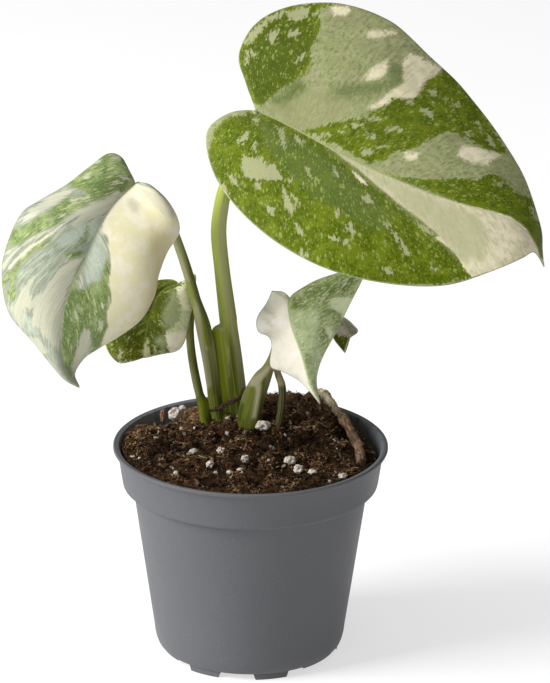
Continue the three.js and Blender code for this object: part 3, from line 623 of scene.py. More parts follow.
def lump_shape(x, y, z, half_x, half_y, half_z, detail=4, pits=0.16):
    """A pitted lump of those half sizes."""
    shape = bmesh.new()
    bmesh.ops.create_icosphere(shape, subdivisions=detail, radius=1)
    for corner in shape.verts:
        at = corner.co.copy()
        coarse = 0.34 * noise.noise(at * 1.8 + Vector((x, y, 0)))
        corner.co *= 0.96 + coarse - pits * noise.turbulence(at * 3 + Vector((y, x, 2)), 3, True)
        corner.co = Vector((corner.co.x * half_x + x, corner.co.y * half_y + y, corner.co.z * half_z + z))
    return shape


perlite_chalk, tree, shader = new_material("perlite_chalk", roughness=0.9, subsurface=0.2)
mm = millimetres(tree)
pitted = noise_of(tree, mm, 1.6, detail=6, roughness=0.65)
chalk = layered(
    tree,
    two_tone(tree, pitted, "#85776a", "#d6cdc3", 0.35, 0.6),
    (ramp(tree, noise_of(tree, mm, 0.5), 0.55, 0.68, 0, 0.7), "#6f5a45"),
)
colour_of(tree, shader, chalk)
bump(tree, shader, pitted, 0.5)
for number, grain in enumerate(PERLITE, start=1):
    chalky = new_piece(f"perlite_grain_{number}", lump_shape(*grain), [perlite_chalk])
    belongs(chalky, "perlite", f"perlite_{number}")

small_shape = bmesh.new()
for x, y, *half_sizes in SMALL_PERLITE:
    height = soil_top(x, y) + 0.3 * half_sizes[2]
    small_shape.from_mesh(template(lump_shape(x, y, height, *half_sizes, detail=3)))
belongs(new_piece("small_perlite_grains", small_shape, [perlite_chalk]), "perlite")


def woody_material(name, grain, grain_scale, dark, light, roughness=0.95):
    """Bark or cork, darker in its pores. Grain is how its pattern is stretched in each direction."""
    material, tree, shader = new_material(name, roughness)
    grained = noise_of(tree, stretched(tree, millimetres(tree), grain), grain_scale, detail=6)
    colour_of(tree, shader, two_tone(tree, grained, dark, light))
    bump(tree, shader, grained, 0.4)
    return material


bark = woody_material("torn_bark", (3, 3, 0.5), 1, "#21140d", "#56402f")
pine_bark = woody_material("dry_pine_bark", (1, 1, 1), 1.1, "#4a2e22", "#94705e")
belongs(new_piece("bark_chip", lump_shape(*WOOD_CHIP, pits=0.3), [pine_bark]), "bark", "wood_chip")

# Stalks: five fleshy petioles that rise from the soil close together, with thin sheath wings low down.
# Stations give the place of each one's middle, its half width and half depth, and how far its wing stands
# out to the left.
PETIOLES = {
    1: [
        (-1.5, 16.5, 88, 3, 3, 0), (-4.5, 18, 98, 3.8, 3.3, 5), (-5.6, 19, 109, 3.9, 3.5, 5.2),
        (-6.5, 19, 117.5, 3.8, 3.4, 5.6), (-8, 18.5, 129.5, 3.8, 3.4, 5.4),
        (-9.3, 18.5, 138.5, 3.8, 3.3, 4.6), (-9.9, 18.5, 142.5, 3.8, 3.3, 3.4),
        (-10.1, 18.5, 144.5, 3.8, 3.3, 0.2), (-10.8, 18.5, 150.5, 3.8, 3.3, 0), (-13, 18.5, 169, 3.4, 3, 0),
        (-14.5, 18.5, 185.5, 3.4, 3, 0), (-13.5, 18.5, 197, 3.3, 2.9, 0), (-11.5, 18, 206.5, 3.1, 2.8, 0),
        (-7, 17.5, 219, 2.8, 2.6, 0), (-2, 16, 231.5, 2.6, 2.5, 0), (1.5, 12.5, 242, 2.5, 2.4, 0),
    ],
    2: [
        (-10.5, 17.5, 88, 2.4, 2.4, 0), (-14, 17.5, 98, 2.5, 2.4, 0), (-15.5, 17, 108, 2.4, 2.2, 0.9),
        (-16.5, 16.5, 116, 2.5, 2.2, 0.7), (-17.7, 15.5, 129, 2.6, 2.2, 1.3),
        (-20.3, 14.5, 144, 2.6, 2.1, 1.4), (-24.5, 13.5, 157.5, 2.2, 2.1, 0), (-28.5, 14, 171.5, 2.2, 2, 0),
        (-32.5, 14.5, 183.5, 2.1, 2, 0), (-36, 13.5, 193.5, 2, 2, 0), (-41, 10, 201.5, 1.9, 1.9, 0),
        (-45.5, 4.5, 208.5, 1.8, 1.8, 0), (-49, -1.5, 213.5, 1.7, 1.7, 0),
    ],
    3: [
        (-14.5, 19, 86, 1.8, 1.8, 0), (-17.5, 19.5, 93, 1.9, 1.8, 0), (-20.5, 19.5, 98.5, 1.9, 1.7, -1.2),
        (-21.5, 19.5, 105, 2, 1.7, -1.6), (-23, 19.5, 111.5, 1.9, 1.6, 0), (-25.8, 20, 126, 1.9, 1.6, 0),
        (-27, 20.5, 138.5, 1.8, 1.5, 0), (-26.5, 21.5, 149, 1.6, 1.4, 0), (-26.5, 23, 155, 1.4, 1.3, 0),
        (-28, 24, 158.5, 1.2, 1.2, 0), (-31.5, 22.5, 161, 1.2, 1.2, 0),
    ],
    4: [
        (4, 12.5, 88, 2.4, 2.2, 0), (2, 10, 96, 2.8, 2.2, 1.5), (0.5, 8, 100.5, 3, 2.2, 3.5),
        (3, 8.5, 111.5, 2.8, 2, 4.5), (6, 9.5, 121, 2.5, 1.8, 3.2), (8, 10.5, 127, 2.2, 1.7, 0.6),
        (10, 12, 133, 1.9, 1.6, 0), (12, 13, 142, 1.7, 1.5, 0), (14.5, 13, 150.5, 1.5, 1.4, 0),
        (16.5, 9.5, 159, 1.4, 1.4, 0),
    ],
    5: [
        (10, 10, 86, 1.7, 1.7, 0), (11, 7.5, 94, 1.8, 1.7, 0), (12, 6.5, 100, 1.8, 1.7, 0),
        (13.5, 8, 110, 1.7, 1.6, 0), (13.5, 10, 118, 1.7, 1.6, 0), (11.5, 13, 123.5, 1.5, 1.5, 0),
        (10, 16.5, 130, 1.4, 1.4, 0), (11, 20, 137.5, 1.3, 1.3, 0), (15, 24, 144, 1.2, 1.2, 0),
        (22, 27, 148.5, 1.1, 1.1, 0), (30, 28.8, 149.5, 1.1, 1.1, 0), (35, 28.3, 148, 1, 1, 0),
        (38.5, 25.8, 145, 1, 1, 0),
    ],
}
STALK_SIDES = 40
ROUNDED_END = 0.015
STEP_ALONG = 0.004


def curve_at(points, shares):
    """Places on a smooth curve through points, where shares from 0 to 1 count its points evenly."""
    ends = np.asarray(points, float)
    ends = np.vstack([2 * ends[0] - ends[1], ends, 2 * ends[-1] - ends[-2]])
    place_on = np.clip(np.asarray(shares, float), 0, 1) * (len(points) - 1)
    first = np.minimum(place_on.astype(int), len(points) - 2)
    t = (place_on - first)[..., None]
    a, b, c, d = (ends[first + i] for i in range(4))
    return 0.5 * (2 * b + (c - a) * t + (2 * a - 5 * b + 4 * c - d) * t**2 + (3 * b - a - 3 * c + d) * t**3)


CURVE_SAMPLES = 401


def curve_evenly_at(points, shares):
    """Places on the same curve, where shares count its length evenly."""
    fine = np.linspace(0, 1, CURVE_SAMPLES)
    steps = np.linalg.norm(np.diff(curve_at(points, fine), axis=0), axis=1)
    lengths = np.concatenate([[0], np.cumsum(steps)])
    return curve_at(points, np.interp(np.asarray(shares) * lengths[-1], lengths, fine))


FIELD_REACH = 3.0
PIXELS_PER_MM = 2.32


def depth_inside(outlines, pixels):
    """How far inside the nearest outline each point is, in millimetres of the view, and negative outside."""
    depth = np.full(len(pixels), -FIELD_REACH)
    reach = FIELD_REACH * PIXELS_PER_MM
    for outline in outlines:
        corners = np.reshape(outline, (-1, 2)).astype(float)
        near = np.all((pixels > corners.min(0) - reach) & (pixels < corners.max(0) + reach), axis=1)
        p = pixels[near][:, None]
        a, b = corners[None], np.roll(corners, -1, axis=0)[None]
        share = np.clip(((p - a) * (b - a)).sum(2) / ((b - a) ** 2).sum(2), 0, 1)
        away = np.linalg.norm(p - a - share[..., None] * (b - a), axis=2).min(1) / PIXELS_PER_MM
        rising = (a[..., 1] > p[..., 1]) != (b[..., 1] > p[..., 1])
        rise = np.where(a[..., 1] == b[..., 1], 1, b[..., 1] - a[..., 1])
        crossed = rising & (p[..., 0] < a[..., 0] + (b[..., 0] - a[..., 0]) * (p[..., 1] - a[..., 1]) / rise)
        inside = crossed.sum(1) % 2 == 1
        depth[near] = np.maximum(depth[near], np.where(inside, away, -away))
    return np.clip(depth, -FIELD_REACH, FIELD_REACH)


def grid_shape(columns, rows):
    """A flat grid of quads with its own UV map. Corners run from -1 to 1 both ways."""
    shape = bmesh.new()
    shape.loops.layers.uv.new("UVMap")
    bmesh.ops.create_grid(shape, x_segments=columns, y_segments=rows, size=1, calc_uvs=True)
    return shape


def give_fields(shape, places, fields):
    """Moves a shape's points to places and stores the fields' numbers on them. Gives the fields' layers."""
    layers = {name: shape.verts.layers.float.new(name) for name in fields}
    for index, corner in enumerate(shape.verts):
        corner.co = places[index]
        for name, layer in layers.items():
            corner[layer] = fields[name][index]
    return layers


MARK_TONES = ("grey", "deep", "pale", "bright_and_painted_light")


def tube_shape(stations, rows, sides=STALK_SIDES, marks=None, lumps=0.0, lump_size=3.0):
    """A tube over stations, its top end rounded, with a wing of the sheath where the stations give one."""
    shape = grid_shape(sides, rows)
    corners = np.array([corner.co for corner in shape.verts])
    around = math.pi * corners[:, 0]
    row = (corners[:, 1] + 1) / 2
    along = np.clip((row * rows - 1) / (rows - 2), 0, 1)
    cap = np.where((row < 0.5 / rows) | (row > 1 - 0.5 / rows), 0, 1)
    near_end = np.clip((along - 1 + ROUNDED_END) / ROUNDED_END, 0, 1)
    dome = np.sqrt(1 - near_end**2) * 0.75 + 0.25
    axis = [station[:3] for station in stations]
    middle = curve_at(axis, along)
    sizes = curve_at([station[3:] for station in stations], along)
    ahead, behind = (np.clip(along + step, 0, 1) for step in (STEP_ALONG, -STEP_ALONG))
    forwards = curve_at(axis, ahead) - curve_at(axis, behind)
    forwards /= np.linalg.norm(forwards, axis=1)[:, None]
    side = np.cross([0, 1, 0], forwards)
    side /= np.linalg.norm(side, axis=1)[:, None]
    depth = np.cross(forwards, side)
    cosine, sine = np.cos(around), np.sin(around)
    wing = np.where(cosine * sizes[:, 2] < 0, np.abs(sizes[:, 2]) * np.abs(cosine) ** 3, 0)
    reach = np.sign(cosine) * (np.abs(cosine) * sizes[:, 0] + wing) * dome * cap
    places = middle + side * reach[:, None] + depth * (sine * sizes[:, 1] * dome * cap)[:, None]
    tones = MARK_TONES if marks else ()
    fields = {tone: depth_inside(marks.get(tone, []), seen_at(places)) for tone in tones}
    fields["along"] = along
    give_fields(shape, places, fields)
    bmesh.ops.remove_doubles(shape, verts=shape.verts, dist=0.002)
    bmesh.ops.recalc_face_normals(shape, faces=shape.faces)
    shape.normal_update()
    for corner in shape.verts:
        corner.co += corner.normal * lumps * (noise.turbulence(corner.co / lump_size, 4, False) - 0.6)
    return shape


# Their markings are outlines, drawn as the camera sees them: x and y in turn, in the photograph's pixels.
PETIOLE_MARKS = {
    1: {
        "grey": [
            [
                222, 203, 229, 203, 226, 225, 227, 265, 234, 310, 240, 345, 246, 385, 240, 392, 236, 355,
                227, 310, 220, 262, 219, 225,
            ],
            [209, 318, 214, 320, 224, 329, 221, 334, 213, 330], [226, 345, 230, 350, 231, 375, 228, 378],
            [212, 345, 215, 346, 222, 390, 219, 392, 214, 365],
        ],
        "deep": [[230, 335, 234, 350, 236, 370, 238, 392, 232, 400, 229, 365]],
        # Painted light: this bright mark lightens petiole 1's sheath wing, where petiole 2 shades it.
        "bright_and_painted_light": [[211, 324, 223, 332, 227, 350, 228, 385, 226, 410, 212, 405, 208, 362, 208, 340]],
    },
    2: {
        "grey": [
            [172, 238, 178, 238, 183, 255, 190, 281, 185, 282, 180, 262],
            [194, 300, 199, 305, 203, 340, 209, 386, 206, 392, 201, 365, 195, 325],
            [205, 345, 208, 347, 213, 385, 210, 386], [212, 340, 214, 340, 222, 392, 220, 396],
        ],
        "deep": [
            [180, 228, 186, 240, 198, 280, 208, 315, 212, 345, 209, 345, 203, 318, 190, 275],
            [206, 350, 209, 350, 216, 392, 213, 396],
        ],
        "bright_and_painted_light": [[203, 318, 208, 325, 211, 350, 207, 348, 204, 335]],
    },
    3: {
        "grey": [[184, 335, 188, 335, 188, 352, 195, 378, 199, 396, 196, 396, 188, 372]],
        "deep": [[193, 325, 197, 325, 197, 350, 207, 390, 203, 392, 195, 365]],
        "pale": [[208, 392, 213, 393, 221, 402, 214, 410, 209, 408]],
        "bright_and_painted_light": [[199, 396, 207, 398, 209, 412, 205, 426, 200, 424]],
    },
    4: {
        "grey": [
            [266, 376, 273, 371, 270, 386, 266, 403, 264, 418, 262, 418, 264, 403, 266, 389],
            [249, 386, 246, 391, 243, 403, 245, 404, 249, 394, 251, 389],
        ],
        "deep": [
            [262, 379, 266, 377, 264, 393, 262, 409, 260, 421, 257, 421, 259, 409, 261, 394],
            [240, 402, 244, 404, 242, 420, 237, 424, 236, 414],
        ],
        "bright_and_painted_light": [[251, 386, 255, 385, 254, 393, 251, 401, 249, 411, 244, 420, 241, 418, 244, 406]],
        "pale": [
            [
                269, 365, 262, 371, 256, 375, 251, 380, 249, 386, 254, 386, 256, 389, 260, 383, 266, 374,
                272, 368,
            ],
            [256, 386, 261, 384, 260, 394, 258, 409, 256, 418, 252, 418, 254, 406, 256, 394],
        ],
    },
    5: {
        "grey": [[266, 362, 282, 370, 286, 386, 275, 385, 273, 374]],
        "deep": [[272, 387, 287, 387, 287, 405, 282, 430, 270, 430, 276, 405]],
    },
}


def stalk_material(name, top, foot, deep, grey, pale, bright_and_painted_light):
    """Smooth petiole skin: it deepens towards its foot, with long stripes, fine lines and a waxy gloss."""
    material, tree, shader = new_material(name, roughness=0.45, ior=1.42, subsurface=0.08, specular=0.12)
    stalk_uv = uv_of(tree)

    def lines(around, along, detail=3):
        return noise_of(tree, stretched(tree, stalk_uv, (around, along, 1)), 1, detail=detail)

    def mark(tone, most):
        ragged = maths(tree, "MULTIPLY", maths(tree, "SUBTRACT", fine_lines, 0.5), 1.6)
        return ramp(tree, maths(tree, "ADD", field_of(tree, tone), ragged), -0.9, 0.9, 0, most)

    fine_lines = lines(40, 2.4)
    thin_lines = lines(75, 1.3, detail=2)
    blotches = noise_of(tree, millimetres(tree), 1.1)
    skin = layered(
        tree,
        mix(tree, ramp(tree, field_of(tree, "along"), 0.1, 0.75), foot, top),
        (ramp(tree, lines(12, 0.9, detail=2), 0.5, 0.62, 0, 0.4), deep),
        (mark("grey", 0.65), grey),
        # The bright mark: on petiole 1 it is painted light, on the sheath wing that petiole 2 shades.
        (mark("bright_and_painted_light", 0.85), bright_and_painted_light),
        (mark("deep", 0.85), deep),
        (mark("pale", 0.75), pale),
        (ramp(tree, fine_lines, 0.52, 0.7, 0, 0.4), grey),
        (ramp(tree, thin_lines, 0.56, 0.66, 0, 0.35), deep),
        (ramp(tree, thin_lines, 0.44, 0.36, 0, 0.3), grey),
        (ramp(tree, blotches, 0.62, 0.74, 0, 0.35), deep),
    )
    colour_of(tree, shader, skin)
    bump(tree, shader, fine_lines, 0.08)
    return material


PETIOLE_TONES = {
    1: ("#a3ae52", "#5c6410", "#465200", "#a5a27a", "#b9bb9c", "#8a9814"),
    2: ("#8a9144", "#565d10", "#424c00", "#a09c82", "#b9bb9c", "#5f6a06"),
    3: ("#70772a", "#4a5008", "#2e3402", "#8a866a", "#98a66c", "#6c7808"),
    4: ("#86854c", "#4b5008", "#384204", "#7a7550", "#b0ab90", "#66721a"),
    5: ("#8e8a54", "#3b3b06", "#323000", "#a49c7c", "#b9bb9c", "#4c520c"),
}
for number, stations in PETIOLES.items():
    shape = tube_shape(stations, rows=16 * len(stations), marks=PETIOLE_MARKS[number])
    skin = stalk_material(f"petiole_skin_{number}", *PETIOLE_TONES[number])
    belongs(new_piece(f"petiole_{number}_skin", shape, [skin]), "petiole", f"petiole_{number}")

# Stem base: the short rhizome and feeding roots under the soil, with corky skin. It shows from no side, so
# it stays the carried-over CAD node and only takes its material.
cork = woody_material("corky_stem", (1, 1, 1), 0.8, "#4b4426", "#8b7c55", roughness=0.85)
for material_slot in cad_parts["stem_base"].material_slots:
    material_slot.material = cork

# Aerial root and twig: a tan root that arches over the heaped soil and dives into it, wrinkled along its
# length, and a thin dark twig caught among the stalks. Both are tubes over stations, as the stalks are.
AERIAL_ROOT = [
    (28.5, 44, 98, 2, 1.8, 0), (29.9, 42, 102.3, 2.6, 2, 0), (31.7, 38, 104.4, 2.8, 2, 0),
    (34.3, 33, 103.2, 2.7, 2, 0), (37.1, 27.5, 101, 2.5, 1.9, 0), (40.2, 21, 99.3, 2.9, 2, 0),
    (43.4, 13, 97, 2.7, 2, 0), (45.9, 3, 95.6, 2.9, 2, 0), (47.6, -9, 94.5, 2.7, 1.9, 0),
    (47.6, -17.5, 93.2, 2.3, 1.7, 0), (46, -24, 91, 2, 1.5, 0),
    (43.5, -29.5, 87, 1.3, 1.2, 0),
]
TWIG = [
    (-18.2, 13.6, 104.9, 0.8, 0.8, 0), (-14.2, 13.95, 105.9, 1.2, 1.1, 0), (-10, 14.1, 108.6, 1.3, 1.2, 0),
    (-2.2, 14.3, 112.4, 1.2, 1.1, 0), (1, 14.3, 113.6, 0.6, 0.6, 0),
]
root_skin, tree, shader = new_material("dry_root_skin", roughness=0.85)
wrinkled = noise_of(tree, stretched(tree, uv_of(tree), (14, 26, 1)), 1, detail=5, roughness=0.65)
patchy = noise_of(tree, millimetres(tree), 0.18, detail=3)
root_tone = layered(
    tree,
    two_tone(tree, wrinkled, "#bda87e", "#f8ecd0"),
    (ramp(tree, field_of(tree, "along"), 0.2, 0.5), two_tone(tree, wrinkled, "#4c3826", "#8a6e50")),
    (ramp(tree, patchy, 0.48, 0.6, 0, 0.8), "#3a281b"),
)
colour_of(tree, shader, root_tone)
bump(tree, shader, wrinkled, 0.5)
root_shape = tube_shape(AERIAL_ROOT, rows=160, lumps=0.7, lump_size=2.2)
belongs(new_piece("aerial_root_skin", root_shape, [root_skin]), "root", "aerial_root")
twig_shape = tube_shape(TWIG, rows=80, sides=24, lumps=0.7, lump_size=1.2)
belongs(new_piece("dry_twig", twig_shape, [bark]), "bark", "twig")

# Leaves: five blades about 0.6 mm thick. Each half is ruled from the midrib to its margin, and bows out
# halfway by its swell or through a halfway line, so that its side veins all fan from where the stalk joins.
LEAF_THICKNESS = 0.62
KEEL_WIDTH = 1.1
QUILT_SIZE = 14
EDGE_SAMPLES = 240
LEAVES = {
    "leaf_1": {
        "quilting": 0.35, "rib_depth": 2.4, "lean": 0.1, "fan": 2, "grid": (236, 150),
        "swell": {"left": (0.5, -3.6, 4.1), "right": (0.4, -2.6, 3)},
        "joint": (1.5, 12, 242.5), "tip": (124, -16, 183),
        "rib": [
            (20, 5.5, 235.5), (44, -4.5, 225), (77, -11.5, 213), (101, -12, 205.5), (111.5, -11.5, 201),
            (118.5, -12.5, 194.5), (122, -14, 189),
        ],
        "left": [
            (-3.5, 25.5, 252.5), (-6, 37, 261.5), (2, 52, 271), (18, 62, 276), (38.5, 63.5, 276),
            (59, 58.5, 270), (74.5, 48.5, 258.5), (88, 41.5, 247.5), (103, 28, 232), (113.5, 15.5, 218.5),
            (119, 7, 207.5), (123, -2, 195.5), (123.5, -9.5, 188.5),
        ],
        "right": [
            (-9, 12, 241.5), (-18, 8.5, 236.5), (-19.5, 2, 229.5), (-14.5, -10.5, 218), (-2.5, -22, 206),
            (14, -32.5, 196), (34.5, -40.5, 188.5), (58, -41.5, 183.5), (81, -38.5, 182), (100, -32.5, 186),
            (113, -24.5, 189), (119.5, -16.5, 189.5),
        ],
    },
    "leaf_2": {
        "quilting": 0.12, "rib_depth": 1.2, "lean": 1.1, "fan": 1.7, "grid": (200, 130),
        "swell": {"left": (0, -6, 1)},
        "joint": (-49.5, -2, 214), "tip": (-73.5, -17, 127),
        "rib": [
            (-57.5, -13, 209), (-63.5, -20, 201.5), (-69, -25, 189.5), (-75, -27, 178), (-79.5, -28, 164),
            (-80.5, -26, 148.5), (-78.5, -21, 135),
        ],
        "left": [
            (-52.5, 2, 218.5), (-56, 4, 224), (-61.5, 3, 225.5), (-68.5, -2, 221.5), (-78.5, -8, 215),
            (-89.5, -13, 209.5), (-96.5, -17, 205.5), (-102, -19, 195), (-105.5, -18, 180), (-103, -19, 162),
            (-92.5, -21, 149), (-83.5, -21, 137), (-79, -19, 131),
        ],
        "right": [
            (-43.8, 1, 210.5), (-38.5, 5, 202), (-36.5, 7, 191.5), (-39, 6, 182.5), (-42.5, 4, 173.5),
            (-44.5, 1, 164.5), (-48.5, -4, 156), (-57, -8, 149), (-64.5, -11, 144.5), (-71.5, -13, 139),
            (-75.5, -16, 133),
        ],
        "right_halfway": [
            (-43.5, -8, 215.3), (-35.8, -15, 209.8), (-32.3, -17, 200), (-38.5, -20, 191.5),
            (-42, -23, 182.5), (-44, -24, 174), (-50, -24, 164), (-59, -23, 155.5), (-66.5, -22, 149),
            (-73, -21, 143), (-77, -19, 135.5),
        ],
    },
    "leaf_3": {
        "quilting": 0.2, "rib_depth": 1.2, "lean": 0.3, "fan": 1.4, "grid": (110, 70),
        "swell": {"left": (-1, -3, 0), "right": (0, -4, 0)},
        "joint": (-31.5, 22, 161), "tip": (-48.5, 25, 131),
        "rib": [
            (-37.5, 17, 160.5), (-42, 12.5, 156.5), (-45, 10.5, 147), (-47, 12, 135.5), (-47.5, 16, 129),
            (-48, 21, 128),
        ],
        "left": [
            (-35.5, 23, 162.5), (-43.5, 20, 162.5), (-51, 16, 160), (-57.5, 12, 154), (-63, 10, 143.5),
            (-63, 11, 135), (-58.5, 14, 127.5), (-53.5, 19, 126), (-50.5, 23, 128),
        ],
        "right": [
            (-28.5, 21.5, 162.5), (-24.5, 20.5, 165.5), (-25.5, 18.5, 154.5), (-27.5, 17, 145),
            (-29.5, 17, 136), (-33, 19, 131), (-40, 22.5, 128.5), (-45.5, 25, 128),
        ],
    },
    "leaf_4": {
        "quilting": 0.12, "rib_depth": 1.2, "lean": 0, "fan": 1.6, "grid": (130, 84),
        "swell": {"left": (0, -1, 0), "right": (0, -3, 1)},
        "joint": (16.5, 9, 159.5), "tip": (30, -7, 116.5),
        "rib": [(16, 4.5, 156.5), (18, 0, 148), (21.5, -4, 139.5), (25, -6.5, 128.5)],
        "left": [
            (13.5, 12, 161), (9.4, 13, 161), (8.9, 13, 161.4), (8.6, 12.7, 160.6), (6.5, 10, 156.5),
            (2.5, 6, 151), (3, 5, 145.5), (7.5, 8, 142), (9, 9, 137.5), (8.5, 6, 129), (14, 2, 128),
            (21, -2, 125.5), (25.5, -5.5, 122),
        ],
        "right": [
            (19.5, 11, 161.5), (28, 16, 165), (37, 20, 167), (45, 23, 168.5), (49.5, 24, 168.5),
            (48, 22.5, 163.5), (43, 18, 154.5), (37, 11, 144), (31, 4, 134.5), (28.5, -1, 128),
            (28.5, -4.5, 123),
        ],
    },
    "leaf_5": {
        "quilting": 0.1, "rib_depth": 0.9, "lean": 0.3, "fan": 1.5, "grid": (60, 48),
        "swell": {"left": (0, -0.5, 0), "right": (0, -1, 0)},
        "joint": (38, 26, 145.5), "tip": (41, 25, 128.5),
        "rib": [(40.5, 24, 143), (42.5, 23.5, 139), (42.5, 24, 134.5)],
        "left": [(35.5, 27.5, 140.5), (36, 28, 134.5)],
        "right": [(41, 23, 145.5), (44.5, 20, 143.5), (46.5, 19, 140.5), (43, 23, 136)],
    },
}
for leaf in LEAVES.values():
    for line in {"rib", "left", "right", "right_halfway"} & leaf.keys():
        leaf[line] = [leaf["joint"], *leaf[line], leaf["tip"]]
